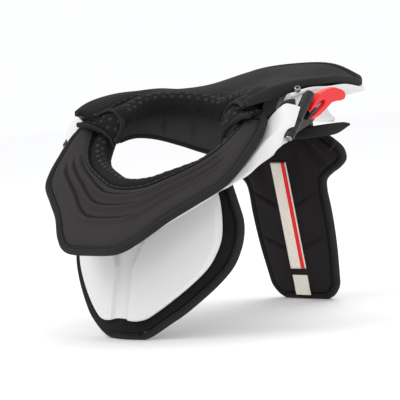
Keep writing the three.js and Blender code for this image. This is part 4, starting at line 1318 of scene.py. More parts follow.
@dataclass
class FrontHoop:
    """White hoop under the collar with its two arms, and the black bands behind them."""

    # Thickness at the upper edge, fold and lower edge, and where the hidden front grows to all of it
    depths: Triple = (3.0, 7.0, 5.0)
    thinned: Pair = (0.4, 0.55)
    easing: tuple[float, ...] = (1.3, 3.2, 1.6, 2.0, 3.0, 1.2)
    # Room round the link: radius and upper end round the pin, its plate's middle, growth and two heights
    barrel: float = 4.6
    reach: float = 57.0
    link_middle: Pair = (30.0, 11.0)
    link_growth: float = 1.07
    link_levels: Pair = (-7.2, -1.0)
    # Where the bush starts and ends along the pin
    lug: Pair = (5.0, 18.5)
    # Columns: upper edge, fold and lower edge, each X, Y, Z, front centre to latch
    rows: Table = (
        (0, -68.5, 97, 0, -79, 87, 0, -83.2, 83.1),
        (23.5, -66.5, 99, 25.5, -77, 89, 26.2, -80.2, 86.1),
        (40, -58.5, 106, 42, -68.5, 97, 42.5, -70.3, 95.2),
        (55, -49, 113.5, 58, -57, 107, 58.6, -58.3, 105.9),
        (67.5, -43, 119, 71.5, -48.5, 115, 72.1, -49.8, 114.3),
        (79.3, -39.5, 125.5, 86, -43.5, 124, 85.6, -45.6, 122),
        (88.1, -34, 132, 96.5, -37, 132.5, 95.2, -40.8, 125.6),
        (96, -28.2, 139.8, 105.5, -29, 142, 103, -34, 131),
        (101, -21.5, 148, 111.5, -20, 152.5, 111, -27, 138),
        (104.5, -15, 155, 116, -11.8, 161.5, 117.5, -18.5, 145.4),
        (107.5, -5, 165.5, 121.7, -5.3, 167.5, 123.5, -12, 151),
        (107.5, 4, 179, 125.2, -2.2, 170.5, 126, -7, 155.2),
        (121, 7.3, 190.2, 128.9, 0.8, 172.6, 128.3, -3.6, 158.4),
        (128.5, 10.5, 190, 132.4, 2.8, 175.6, 130.4, -1.8, 160.6),
        (133.5, 14.5, 187.5, 135.8, 6, 178.3, 132.2, 1, 163),
    )
    link_outline: Table = (
        (2, 0), (4.5, 5), (22, 14.8), (36.9, 24.2), (43, 25.4), (48, 22.5),
        (50.5, 17), (57, 15), (57.8, 10.6), (53, 2.5), (48.5, 0),
    )
    # The black band behind an arm: its face's direction and half its thickness
    band_face: Triple = (0.4, -0.917, 0.0)
    band_half: float = 2.0
    # Columns: X, Y, lower and upper height of that band
    core: Table = (
        (114.4, 11, 185.5, 188.5),
        (118, 12.5, 184, 192.6),
        (123, 15, 183.5, 194.2),
        (126.5, 16.6, 184, 194),
    )

    def hoop(self) -> Shell:
        """The hoop before its ends are cut for the latches.

        Returns:
            The closed surface.
        """
        rows = spline(whole(self.rows, (0, 3, 6)), np.linspace(0, 1, 280))
        outer = rows.reshape(len(rows), 3, 3)
        upper, fold, lower = outer[:, 0], outer[:, 1], outer[:, 2]
        ahead = np.stack([tangents(line) for line in (upper, fold, lower)], axis=1)
        down = np.stack([fold - upper, lower - upper, lower - fold], axis=1)
        share = 0.5 + 0.5 * step(np.abs(np.linspace(-1, 1, len(rows))), *self.thinned)
        inner = outer + unit(np.cross(ahead, down)) * np.outer(share, self.depths)[..., None]
        return loft(rounded(np.concatenate([outer, inner[:, ::-1]], axis=1), self.easing))

    def end_tools(self) -> list[Shell]:
        """Room for the link and its bush at the arm's end.

        Returns:
            What is cut out of the hoop on the wearer's left.
        """
        start = self.lug[0]
        (middle, behind), growth = self.link_middle, self.link_growth
        grown = tuple(
            (middle + (a - middle) * growth, behind + (b - behind) * growth) for a, b in self.link_outline
        )
        return [
            rod(LATCH.at(start - 12), LATCH.at(start - GAP), self.barrel),
            rod(LATCH.at(start - GAP), LATCH.at(self.reach), self.barrel),
            LATCH.plate(grown, *self.link_levels),
        ]

    def bush(self) -> Shell:
        """The black bush that the arm's end holds round the pin."""
        start, end = self.lug
        return rod(LATCH.at(start), LATCH.at(end), self.barrel - 0.5, 0.6)

    def band(self) -> Shell:
        """The black band behind one arm's upper edge.

        Returns:
            The closed surface.
        """
        rows = spline(self.core, np.linspace(0, 1, 40))
        side = np.array(self.band_face) * self.band_half
        corners = [
            np.column_stack([rows[:, :2], rows[:, level]]) + side * sign
            for sign, level in ((1, 2), (1, 3), (-1, 3), (-1, 2))
        ]
        return loft(rounded(np.stack(corners, axis=1), (0.6, 1.0, 1.0, 0.6)))

    def build(self) -> None:
        """Make and dress the hoop and the bands."""
        tools = self.end_tools()
        tools += [shell.mirrored() for shell in tools]
        dress(hollowed(self.hoop().make("hoop_and_arms"), tools, 38), [WHITE], nodes=["front_hoop"])
        space = rod(LATCH.at(self.lug[1] + GAP), LATCH.at(self.reach), self.barrel)
        for side in Side:
            band = self.band().on(side).make(f"arm_band_{side.word}", sharp=CRISP)
            dress(hollowed(band, [space.on(side)], CRISP), [BLACK], nodes=[f"arm_core_{side.word}"])
            dress(self.bush().on(side).make(f"arm_bush_{side.word}", sharp=CRISP), [BLACK])


@dataclass
class ChestPiece:
    """White chest plate on its pile-faced pad with a bound edge."""

    lean: float = 0.25
    foot_y: float = -82.8
    wrap: float = 0.034
    curl: float = 0.015
    curl_from: float = 20.0
    pad_back: float = 2.0
    pad_thick: float = 8.0
    plate_thick: float = 3.6
    proud: float = 3.0
    outline_points: int = 110
    valley_depth: float = 3.8
    valley_half: float = 8.6
    valley_side: float = 3.0
    # Start and rate of the valley's widening, height and half width of the notch, depth and width of the rim
    flare: Pair = (62.0, 0.42)
    notch: Pair = (3.2, 8.0)
    rim: Pair = (0.9, 3.2)
    # Start of the rim at the foot and how fast it leaves it, then what keeps it off the plate's head
    rim_foot: Pair = (15.5, 1.5)
    rim_head: Triple = (110.0, 20.0, 60.0)
    # Height of a lobe, its distance from the middle and half width, its level and half height
    lobe: tuple[float, ...] = (1.6, 30.0, 26.0, 55.0, 34.0)
    # Columns: height, half width, how far the side edge lifts
    plate_rows: Table = (
        (16.5, 19, 0), (18.5, 27, 0), (24, 36, 0), (33, 48, 0), (45, 62, 0), (58, 74, 0),
        (68, 80, 2), (78, 83, 5), (88, 82, 10), (96, 79, 17), (103, 75, 22),
    )
    pad_rows: Table = (
        (0, 18, 0), (1.5, 24, 0), (5, 31, 0), (12, 42, 0), (20, 54, 0), (32, 68, 0), (45, 81, 0),
        (58, 90.5, 0), (70, 95, 1), (80, 96.5, 4), (89, 95, 8), (97, 89.5, 15), (104, 83.5, 23),
    )

    def face(self, x: Array, z: Array) -> Array:
        """Y of the wrapped face that plate and pad share."""
        curl = self.curl * np.maximum(0, self.curl_from - z) ** 2
        return self.foot_y + self.lean * z + self.wrap * np.abs(x) ** 1.5 + curl

    def plate(self) -> Shell:
        """The plate with its two lobes and the valley between them.

        Returns:
            The closed surface.
        """
        places, columns = dense_ends(120, 0.5), dense_ends(150, 0.4)
        rows = spline(self.plate_rows, places)
        v = 2 * columns - 1
        x = np.outer(rows[:, 1], v)
        low = step(places, 0.0, 0.12)[:, None]
        z = rows[:, 0:1] + rows[:, 2:3] * v**2 + self.notch[0] * bell(x, self.notch[1]) * (1 - low)
        half = self.valley_half + np.maximum(0, z - self.flare[0]) * self.flare[1]
        wall = self.valley_side / 2
        valley = self.valley_depth * (1 - step(np.abs(x) - half, -wall, wall))
        high, beside, wide, middle, tall = self.lobe
        lobe = -high * bell(np.abs(x) - beside, wide) * bell(z - middle, tall)
        head, head_half, clear = self.rim_head
        ends = (z - self.rim_foot[0]) * self.rim_foot[1] + clear * bell(z - head, head_half)
        edge = np.minimum(rows[:, 1:2] - np.abs(x), ends)
        rim = self.rim[0] * (1 - step(edge, self.rim[1] - 1, self.rim[1] + 1))
        base = self.face(x, z) - self.proud
        front = np.stack([x, base + valley + rim + lobe, z], axis=-1)
        back = np.stack([x, base + self.plate_thick + 0.2, z], axis=-1)
        front[..., 1] = np.minimum(front[..., 1], back[..., 1] - 0.9)
        return pillow(front, back, places, columns, (60, 60))

    def pad(self) -> Shell:
        """The pad behind the plate.

        Returns:
            The closed surface.
        """
        places, columns = dense_ends(110, 0.5), dense_ends(60, 0.6)
        count = self.outline_points
        edge = half_outline(self.pad_rows, count, BINDING_WIDTH + SEAM)[FOOT_POINTS:]
        lift = spline(self.pad_rows, np.linspace(0, 1, count))[:, 2]
        half, level, rise = (
            np.interp(places * (count - 1), np.arange(count), row) for row in (edge[:, 0], edge[:, 1], lift)
        )
        v = 2 * columns - 1
        x = np.outer(half, v)
        z = level[:, None] - rise[:, None] * (1 - v**2)[None]
        base = self.face(x, z) + self.pad_back
        front = np.stack([x, base, z], axis=-1)
        back = np.stack([x, base + self.pad_thick, z], axis=-1)
        return pillow(front, back, places, columns, (60, 150))

    def build(self) -> None:
        """Make and dress the plate, the pad and its edge."""
        dress(self.plate().make("chest_plate_moulding", merge=True), [WHITE], nodes=["chest_plate"])
        dress(self.pad().make("chest_cushion", merge=True), [PILE_CLOTH], nodes=["chest_pad"])
        x, z = full_outline(half_outline(self.pad_rows, self.outline_points, BINDING_WIDTH / 2)).T
        thick = self.pad_thick - 1
        path = np.stack([x, self.face(x, z) + self.pad_back + thick / 2, z], axis=1)
        sew_edge("chest", "chest_binding", path, FORWARD, thick, ("front", "back"))


@dataclass
class RearTable:
    """Raised rear pad with its bound edge, the rear roll and the skirt below it."""

    binding: float = 5.0
    crown: float = 2.4
    shoulder: float = 1.0
    roll_radius: float = 11.4
    skirt_thick: float = 3.6
    eyelet_space: float = 9.0
    # Degrees round the roll of the eyelets whose rims are painted pale as a painted highlight, then of the
    # others
    bright_lines: tuple[float, ...] = (40, 70)
    dark_lines: tuple[float, ...] = (-48, -18, 12)
    # Place across the pad and depth of each sewn line
    sewn_lines: Table = ((0.13, 0.7), (0.3, 0.55), (0.47, 0.4))
    # Share of that depth behind the neck, where along each side the lines grow to all of it,
    # half width of a line, and share, distance and half width of the ridge beside it
    shallow: float = 0.35
    deepening: Pair = (0.28, 0.5)
    furrow: float = 1.2
    ridge: Triple = (0.5, 2.2, 1.5)
    # In from the pad's inner edge and down: the joining cloth's edge, and the seam's stitches
    web_at: Pair = (2.5, 3.2)
    seam_at: Pair = (0.5, 0.4)
    seam_space: float = 8.0
    # How far the lining's top lies outside the pad's inner edge, and half its thickness
    lining_out: float = 5.0
    lining_half: float = 0.6
    # Columns: inner X, Y, Z, outer X, Y, Z, depth under the inner edge, depth at the outer edge
    rows: Table = (
        (0, 88, 199.5, 0, 192, 229, 9, 9),
        (25, 86, 204, 45, 187, 226, 9, 9),
        (50, 78, 207, 83, 172.5, 214, 9, 9.5),
        (68, 65, 208.5, 102.5, 147.5, 210, 9, 8),
        (78, 50, 208, 107.5, 115, 212.5, 9, 7),
        (82, 37, 205, 109.5, 80, 212, 9, 7),
        (83, 24, 201, 109, 50, 211, 8, 7.5),
        (82, 11, 196.5, 108, 22, 207.5, 6, 11),
        (83, 0, 193, 106, 2, 203, 4.5, 9),
        (88, -8, 191, 103, -14, 197, 4, 6),
    )
    # Columns: X, Y, Z of the roll's middle line and its size
    roll_rows: Table = (
        (0, 75.5, 188.5, 1), (21, 74, 193, 1), (41, 68, 196, 1), (57, 57, 197, 1),
        (65.5, 45.5, 196, 1), (69.5, 34.5, 193, 1), (70.5, 24, 189, 1), (70.5, 15.5, 187, 1),
        (71, 9, 185, 0.98), (71.4, 5.5, 183.8, 0.84), (71.6, 3.5, 183.2, 0.4),
    )
    # Columns: X, Y, Z of the skirt's upper edge, then of its lower edge
    skirt_rows: Table = (
        (0, 84, 179, 0, 87, 146),
        (25, 82, 183, 29, 83, 151),
        (50, 74, 186, 53, 74, 160),
        (67, 61, 186, 69, 61, 167),
        (76, 47, 184, 78, 47, 170),
        (80, 35, 180, 81, 35, 169.5),
        (81, 23, 175, 81.5, 23, 167),
    )
    # Places of the skirt's darts along its foot, depth and half width of each
    darts: tuple[float, ...] = (0.19, 0.31, 0.69, 0.81)
    dart: Pair = (2.3, 1.5)

    def sections(self, places: Array) -> tuple[Array, Array, Array]:
        """Inner edge, outer edge and the table's rows at some places."""
        rows = spline(whole(self.rows, (0, 3)), places)
        return rows[:, 0:3], rows[:, 3:6], rows

    def pad(self) -> Shell:
        """The pad with its sewn lines.

        Returns:
            The closed surface.
        """
        places, columns = dense_ends(200, 0.3), dense_ends(90, 0.45)
        inner, outer, rows = self.sections(places)
        tape = inside_edge(inner, outer, self.binding / 2)
        edge = tape + sideways(tape, UP) * (self.binding / 2 - SEAM)
        base = between(inner, edge, columns)
        width = np.linalg.norm(outer - inner, axis=1)[:, None]
        top = self.crown * (1 - (2 * columns - 1) ** 4) - self.shoulder + np.zeros((len(places), 1))
        beside = step(np.abs(2 * places - 1), *self.deepening)[:, None]
        share, apart, half = self.ridge
        for at, depth in self.sewn_lines:
            away = (columns[None] - at) * width
            line = bell(away, self.furrow) - share * bell(away - apart, half)
            top = top - depth * (self.shallow + (1 - self.shallow) * beside) * line
        under = rows[:, 6:7] + (rows[:, 7:8] - rows[:, 6:7]) * columns[None]
        front = base + UP * top[..., None]
        back = base - UP * under[..., None]
        return pillow(front, back, places, columns, (30, 120))

    def build(self) -> None:
        """Make and dress the rear pieces."""
        dress(self.pad().make("table_pad", merge=True), [TABLE_CLOTH], nodes=["rear_table_pad"])
        inner, outer, rows = self.sections(np.linspace(0, 1, 300))
        half = rows[:, 7:8] / 2
        path = inside_edge(inner, outer, self.binding / 2) - UP * half
        tape = bound_edge(path, UP, self.binding, rows[:, 7])
        dress(tape.make("table_tape"), [TAPE], nodes=["rear_table_binding"])
        line = path + UP * (half - SUNK) - sideways(path, UP) * STITCH_LINE * self.binding
        dress(stitches(line, UP).make("table_stitches"), [THREAD])
        toward = -sideways(inner, UP)
        line = inner + toward * self.seam_at[0] - UP * self.seam_at[1]
        seam = stitches(line, unit(toward + UP), self.seam_space)
        dress(seam.make("table_seam"), [EYELET_RIM])
        self.build_roll()
        self.build_skirt()

    def build_roll(self) -> None:
        """The perforated rear roll and the cloth that joins it to the table."""
        rows = spline(whole(self.roll_rows, (0,)), np.linspace(0, 1, 300))
        roll = PunchedRoll(rows[:, :3], self.roll_radius * rows[:, 3], self.eyelet_space, 0.06)
        roll.build("rear_roll", "rear_neck_roll", self.bright_lines, self.dark_lines)
        inner = self.sections(np.linspace(0.06, 0.94, 260))[0]
        edge = inner - sideways(inner, UP) * self.web_at[0] - UP * self.web_at[1]
        strip = web(edge, roll.path, roll.radius, 2.0)
        dress(strip.make("table_web"), [ROLL_CLOTH])

    def folds(self, run: Array, columns: Array) -> Array:
        """How far the skirt's darts and waves draw it away from the neck.

        Args:
            run: distance along the skirt's foot.
            columns: places from its upper edge to its foot.

        Returns:
            Distances, sections by places.
        """
        fold = np.zeros((len(run), len(columns)))
        for dart in self.darts:
            away = run[:, None] - dart * run[-1]
            fold += self.dart[0] * bell(away, self.dart[1]) * bell(columns[None] - 0.4, 0.36)
            fold -= 0.7 * bell(away - 4.5, 3.2) * bell(columns[None] - 0.5, 0.45)
        return fold + 0.35 * np.sin(run / 11.0)[:, None] * columns[None]

    def build_skirt(self) -> None:
        """The cloth skirt with its darts and bound foot."""
        places, columns = np.linspace(0, 1, 260), dense_ends(30, 0.5)
        rows = spline(whole(self.skirt_rows, (0, 3)), places)
        head, foot = rows[:, 0:3], rows[:, 3:6]
        inside = between(head, foot, columns)
        outward = from_neck(inside)
        inside = inside + outward * self.folds(travel(foot), columns)[..., None]
        shell = pillow(inside, inside + outward * self.skirt_thick, places, columns, (50, 200))
        round_it = 2 * len(columns) - 2
        shell.slots = [int(k % round_it >= len(columns) - 1) for k in range(len(shell.faces))]
        dress(shell.make("skirt", merge=True), [SKIRT_CLOTH, TAPE], nodes=["rear_skirt"])
        self.build_lining(head)
        low = foot + UP * 0.7
        path = low + from_neck(low) * self.skirt_thick / 2 - UP * (2.1 + SEAM)
        tape = bound_edge(path, UP, self.skirt_thick + 1.6, 4.2, 0.2)
        dress(tape.make("skirt_tape"), [TAPE], nodes=["rear_skirt_binding"])

    def build_lining(self, head: Array) -> None:
        """The cloth that closes the space from the skirt's head up to the table.

        Args:
            head: the skirt's upper edge.
        """
        inner, _, rows = self.sections(np.linspace(0, 1, 300))
        nearest = np.linalg.norm(head[:, None, :2] - inner[None, :, :2], axis=2).argmin(axis=1)
        outward = from_neck(head)
        foot = head + outward * self.skirt_thick / 2 - UP
        top = inner[nearest] + outward * self.lining_out - UP * (rows[nearest, 6:7] - 0.6)
        half = outward * self.lining_half
        corners = np.stack([foot - half, foot + half, top + half, top - half], axis=1)
        dress(loft(rounded(corners, (0.4, 0.4, 0.4, 0.4), 4)).make("skirt_lining"), [TAPE])


@dataclass
class RearTongue:
    """Cloth tongue that laps from the rear roll over the front one, with its folded edge."""

    thick: float = 3.2
    edge_at: float = 0.1
    edge_half: float = 1.8
    hem: Pair = (5.4, 2.8)
    roll_end: Triple = (72.0, 6.0, 182.0)
    # First row, rows apart, first column, columns apart and stagger of the eyelets on the grid of points
    eyelet_grid: tuple[int, ...] = (6, 8, 11, 14, 7)
    # Height of the tongue's crown, its place from the outer side and its half width
    crown: Triple = (1.3, 0.6, 0.4)
    # Columns: X, Y, Z of the bound edge round the rear roll's end, outer side to inner side
    hem_rows: Table = (
        (86.5, -2.5, 189.6), (81, 1.2, 193), (73.5, 3, 194.6), (66, 4.2, 191), (61, 4, 184),
        (59.6, 1.8, 176.5), (61, -1, 170), (63.5, -3.5, 164.5),
    )
    # Columns: X, Y, Z of the free front edge, then of the back edge, outer side to inner side
    rows: Table = (
        (101, -15, 184, 102, 5, 187.5),
        (92, -14, 183.5, 93, 0, 186),
        (83, -11.5, 180, 84, 1, 187),
        (74, -9.5, 174.2, 75, 0.5, 192),
        (66.2, -8.5, 166.8, 64, 3, 187.5),
        (63.5, -7, 159.5, 61, 0.5, 175.5),
    )

    def build(self, side: Side) -> None:
        """Make and dress one tongue.

        Args:
            side: the wearer's side.
        """
        places, columns = dense_ends(60, 0.5), dense_ends(40, 0.5)
        rows = spline(self.rows, places)
        front, back = rows[:, 0:3], rows[:, 3:6]
        start = self.edge_at + (self.edge_half + 0.15) / np.linalg.norm(back - front, axis=1)[:, None]
        outer = between(front, back, start + (1 - start) * columns)
        along = np.gradient(outer, axis=1)
        normal = unit(np.cross(along, np.gradient(outer, axis=0)))
        inner = outer - normal * self.thick
        high, at, reach = self.crown
        crown = high * bell(places - at, reach)[:, None] * np.sin(columns * np.pi)[None]
        outer = outer + normal * crown[..., None]
        flap = pillow(outer, inner, places, columns, (14, 20)).on(side)
        flap = flap.make(f"tongue_{side.word}", merge=True)
        dress(flap, [ROLL_CLOTH], nodes=[f"rear_tongue_{side.word}"])
        holes = self.eyelets(outer, normal, unit(along)).on(side)
        dress(holes.make(f"tongue_eyelets_{side.word}"), [EYELET_RIM, HOLE_SHADE])
        self.build_edge(side)
        self.build_hem(side)

    def eyelets(self, outer: Array, normal: Array, along: Array) -> Shell:
        """The staggered eyelets on the tongue's outer face.

        Args:
            outer: grid of points of that face.
            normal: its outward direction at each.
            along: its direction from the free edge back at each.

        Returns:
            All the eyelets as one surface.
        """
        first_row, rows_apart, first_column, columns_apart, stagger = self.eyelet_grid
        places, frames = [], []
        for k in range(7):
            for j in range(2):
                spot = first_row + rows_apart * k, first_column + columns_apart * j + stagger * (k % 2)
                places.append(outer[spot] + normal[spot] * 0.02)
                frames.append([along[spot], np.cross(normal[spot], along[spot]), normal[spot]])
        return scatter(eyelet_seed(0.85, 1.35), np.array(places), np.array(frames))

    def build_hem(self, side: Side) -> None:
        """The bound end of the rear roll, round the tongue's back edge.

        Args:
            side: the wearer's side.
        """
        path = spline(self.hem_rows, np.linspace(0, 1, 90))
        along = tangents(path)
        out = path - self.roll_end
        out = unit(out - along * np.sum(out * along, axis=1, keepdims=True))
        hem = bound_edge(path, out, *self.hem, 0.3)
        dress(hem.on(side).make(f"rear_roll_hem_{side.word}"), [TAPE])
        thread = stitches(path + out * 1.25 + np.cross(along, out) * 0.6, out)
        dress(thread.on(side).make(f"rear_roll_hem_stitches_{side.word}"), [THREAD])

    def build_edge(self, side: Side) -> None:
        """The tongue's folded edge.

        Args:
            side: the wearer's side.
        """
        rows = spline(self.rows, np.linspace(0, 1, 70))
        front, back = rows[:, 0:3], rows[:, 3:6]
        path = front + (back - front) * self.edge_at
        along = unit(back - front)
        up = unit(np.cross(along, tangents(path)))
        centre = path - up * self.thick / 2
        wide, tall = oval(20, 0.8)
        rings = rings_round(centre, along, up, wide * self.edge_half, tall * (self.thick / 2 + 0.7))
        tape = loft(rings).on(side).make(f"tongue_tape_{side.word}")
        dress(tape, [TAPE], nodes=[f"rear_tongue_binding_{side.word}"])
        thread = stitches(centre + up * (self.thick / 2 + 0.62) + along * 0.5, up, 2.8)
        dress(thread.on(side).make(f"tongue_stitches_{side.word}"), [THREAD])


@dataclass
class RearFrame:
    """White rear shell from rim through waist to foot flange."""

    thick: float = 4.0
    lift: tuple[float, ...] = (0.95, 0.85, 0.0, -0.6, -0.85)
    # Share of the way from rim to waist and rise of the shelf, and from waist to foot and fall of the flare
    shelf: Pair = (0.55, 1.5)
    flare: Pair = (0.6, 1.0)
    easing: tuple[float, ...] = (1.6, 6.0, 7.0, 5.0, 1.6, 1.6, 4.0, 5.0, 5.0, 1.6)
    # Columns: rim, waist and foot, each X, Y, Z, rear centre to the front end beside the latch
    rows: Table = (
        (0, 195, 215.5, 0, 162, 196, 0, 160, 177),
        (46, 189.5, 212.5, 38, 158, 195, 40, 158, 176),
        (85, 174, 200, 62, 143, 190, 67, 150, 174.5),
        (104.5, 148.5, 197.8, 74, 123, 186, 78, 138, 174),
        (109.5, 117, 201, 84, 100, 187, 82, 112, 175),
        (112, 88, 200, 92, 78, 189, 88, 82, 179),
        (115, 66, 200, 99, 62, 193, 95, 63, 186),
        (119.5, 46, 199, 106, 45, 194, 102, 46, 189),
        (120.5, 31, 196.3, 111, 31, 193.5, 107, 32, 190),
        (118.5, 23.5, 195, 112, 25, 193, 109, 26, 191),
    )

    def build(self) -> None:
        """Make and dress the shell."""
        rows = spline(whole(self.rows, (0, 3, 6)), np.linspace(0, 1, 300))
        rim, waist, foot = rows[:, 0:3], rows[:, 3:6], rows[:, 6:9]
        shelf = rim + (waist - rim) * self.shelf[0] + UP * self.shelf[1]
        flare = waist + (foot - waist) * self.flare[0] - UP * self.flare[1]
        outer = np.stack([rim, shelf, waist, flare, foot], axis=1)
        lift = np.array(self.lift)[None, :, None]
        inner = outer - from_neck(outer) * self.thick * np.sqrt(1 - lift**2) + UP * self.thick * lift
        shell = loft(rounded(np.concatenate([outer, inner[:, ::-1]], axis=1), self.easing))
        dress(shell.make("rear_shell", sharp=50), [WHITE], nodes=["rear_frame"])


@dataclass
class BackPiece:
    """Back pad with its bound edge, shoulder pads, strut, keeper loops and tags."""

    lean: float = 0.215
    foot_y: float = 180.0
    thick: float = 11.0
    edge_step: float = 1.5
    strut_thick: float = 5.0
    outline_points: int = 160
    # Half width of a vee, height, distance and half width of the swelling below it, and where it opens
    vee_half: float = 1.5
    swelling: Triple = (0.9, 5.0, 4.0)
    vee_opens: Pair = (6.0, 16.0)
    # Middle of the folds round the pad's head, as distance to the side and height, and their depth
    fold_middle: Pair = (26.0, 168.0)
    fold_depth: float = 2.2
    # A shoulder pad's bound edge: how far in its middle lies, its width and share of the pad's thickness
    shoulder_edge: Triple = (2.6, 5.0, 0.94)
    # Thickness and width of a keeper loop's band
    loop_band: Pair = (1.8, 8.0)
    # Columns: height where a vee meets the middle, its slope, depth
    vees: Table = ((46.0, 0.45, 2.2), (87.0, 0.52, 2.2))
    # Columns: height, half width, lift of the edge
    rows: Table = (
        (0, 25, 0), (3, 31, 0), (8, 36, 0), (15, 40, 0), (28, 42, 0), (48, 44.5, 0), (68, 46, 0),
        (88, 46.5, 0), (106, 46, 0), (116, 48, 0), (122, 55.5, 0), (128, 66.5, 0), (134, 73.5, 0),
        (140, 75, 0), (147, 73, 0), (154, 66, 0), (161, 56, 0),
    )
    # Columns: front X, Y, back X, Y, upper and lower height, from the back's middle out to the tip
    shoulder_rows: Table = (
        (24, 101, 24, 140, 166, 158),
        (40, 101.5, 40, 142, 166.5, 157.5),
        (56, 105, 54, 145, 167.5, 157.5),
        (68, 112, 64, 147.5, 168.5, 158),
        (76, 124, 73, 150, 169.5, 159.5),
        (80, 138, 79, 152, 170, 163),
        (83, 150, 82, 154, 169, 166),
    )
    strut_rows: Table = ((30, 24), (36, 30), (120, 34), (171, 38))
    loop_rows: Table = (
        (65.5, 145.5, 156.3), (70.5, 143.5, 155), (72.3, 142.5, 151.5),
        (70.5, 142.5, 147.5), (65.5, 144, 144.5),
    )
    loop_face: Triple = (0.6, -0.8, 0.0)
    # Lower end, upper end and half width of each tag
    long_tag: Triple = (30.0, 135.0, 9.5)
    small_tag: Triple = (4.0, 24.0, 9.0)

    def face(self, z: Array) -> Array:
        """Y of the pad's front face."""
        return self.foot_y - self.lean * z

    def relief(self, x: Array, z: Array, edge: Array) -> Array:
        """How far the front face stands back.

        Args:
            x: distance from the middle.
            z: height.
            edge: one in the middle of the pad, nothing at its edge.

        Returns:
            Depths, for each point.
        """
        sunk = np.zeros_like(x)
        high, apart, half = self.swelling
        for level, slope, depth in self.vees:
            away = (z - level - slope * np.abs(x)) / math.hypot(1, slope)
            open_end = step(np.abs(x), *self.vee_opens)
            sunk += depth * bell(away, self.vee_half) * open_end
            sunk -= high * bell(away + apart, half) * open_end
        beside, height = np.abs(x) - self.fold_middle[0], z - self.fold_middle[1]
        reach = np.hypot(beside, height)
        turn = np.arctan2(beside, -height)
        folds = np.cos(8.5 * turn + 0.8) * bell(reach - 32, 20)
        sunk += self.fold_depth * np.maximum(folds, -0.1) * step(np.abs(x), 9.0, 15.0)
        sunk += 0.4 * np.sin(z / 9.0 + 0.05 * x) * bell(np.abs(x) - 28, 16) * step(z, 20, 60)
        return sunk * edge

    def pad(self) -> Shell:
        """The pad with its vees and folds.

        Returns:
            The closed surface.
        """
        edge = half_outline(self.rows, self.outline_points, BINDING_WIDTH + SEAM)[FOOT_POINTS:]
        places, columns = dense_ends(170, 0.5), dense_ends(90, 0.5)
        level = edge[0, 1] + (self.rows[-1][0] - edge[0, 1]) * places
        half = np.interp(level, edge[:, 1], edge[:, 0])
        v = 2 * columns - 1
        x = np.outer(half, v)
        z = np.broadcast_to(level[:, None], x.shape)
        inside = (1 - v**8)[None] * np.minimum(1, 12 * places * (1 - places))[:, None]
        crown = -1.0 * (1 - v**4)[None] * np.minimum(1, 14 * places * (1 - places))[:, None]
        front = np.stack([x, self.face(z) + 0.9 + crown + self.relief(x, z, inside), z], axis=-1)
        back = np.stack([x, self.face(z) + self.thick, z], axis=-1)
        return pillow(front, back, places, columns, (40, 150))

    def shoulder(self) -> Shell:
        """One shoulder pad.

        Returns:
            The closed surface.
        """
        places, columns = dense_ends(90, 0.5), dense_ends(60, 0.6)
        rows = spline(self.shoulder_rows, places)
        plan = between(rows[:, 0:2], rows[:, 2:4], columns)
        seam = 0.7 * (bell(columns * 40 - 5.0, 1.0) + bell((1 - columns) * 40 - 5.0, 1.0))
        upper = np.concatenate([plan, (rows[:, 4:5] - seam)[..., None]], axis=-1)
        lower = np.concatenate([plan, (rows[:, 5:6] + seam)[..., None]], axis=-1)
        return pillow(upper, lower, places, columns, (9, 26))

    def strut(self) -> Shell:
        """The plain stiff strut behind the pad.

        Returns:
            The closed surface.
        """
        rows = spline(self.strut_rows, np.linspace(0, 1, 60))
        near = self.face(rows[:, 0]) + self.thick + GAP
        corners = [
            np.stack([rows[:, 1] * sign, near + depth * self.strut_thick, rows[:, 0]], axis=1)
            for sign, depth in ((-1, 0), (1, 0), (1, 1), (-1, 1))
        ]
        return loft(rounded(np.stack(corners, axis=1), (1.2, 1.2, 2.0, 2.0)))

    def tag(self, sizes: Triple) -> Shell:
        """A thin woven tag lying on the pad.

        Args:
            sizes: its lower end, upper end and half width.

        Returns:
            The closed surface.
        """
        low, high, half = sizes
        places, columns = np.linspace(0, 1, 60), np.linspace(0, 1, 16)
        v = 2 * columns - 1
        z = low + (high - low) * places
        bow = 0.35 * np.sin(places * 7.0)[:, None] + 0.25 * v[None] ** 2
        y = self.face(z)[:, None] - GAP - 0.75 - 0.3 * np.abs(bow)
        front = np.stack(np.broadcast_arrays(half * v, y, z[:, None]), axis=-1)
        return pillow(front, front + (0.0, 0.45, 0.0), places, columns, (60, 200))

    def build(self) -> None:
        """Make and dress the back's pieces."""
        dress(self.pad().make("back_cushion", merge=True), [PAD_CLOTH], nodes=["back_pad"])
        x, z = full_outline(half_outline(self.rows, self.outline_points, BINDING_WIDTH / 2)).T
        thick = self.thick - 2 * self.edge_step
        path = np.stack([x, self.face(z) + self.edge_step + thick / 2, z], axis=1)
        sew_edge("back", "back_binding", path, FORWARD, thick, ("front", "back"))
        dress(self.strut().make("back_stay", sharp=CRISP), [BLACK], nodes=["back_strut"])
        tags = ("long_tag", self.long_tag, TAG_CLOTH), ("small_tag", self.small_tag, PLAIN_TAG)
        for name, sizes, finish in tags:
            tag = dress(self.tag(sizes).make(f"{name}_ribbon", merge=True), [finish], nodes=[name])
        for side in Side:
            self.build_side(side)

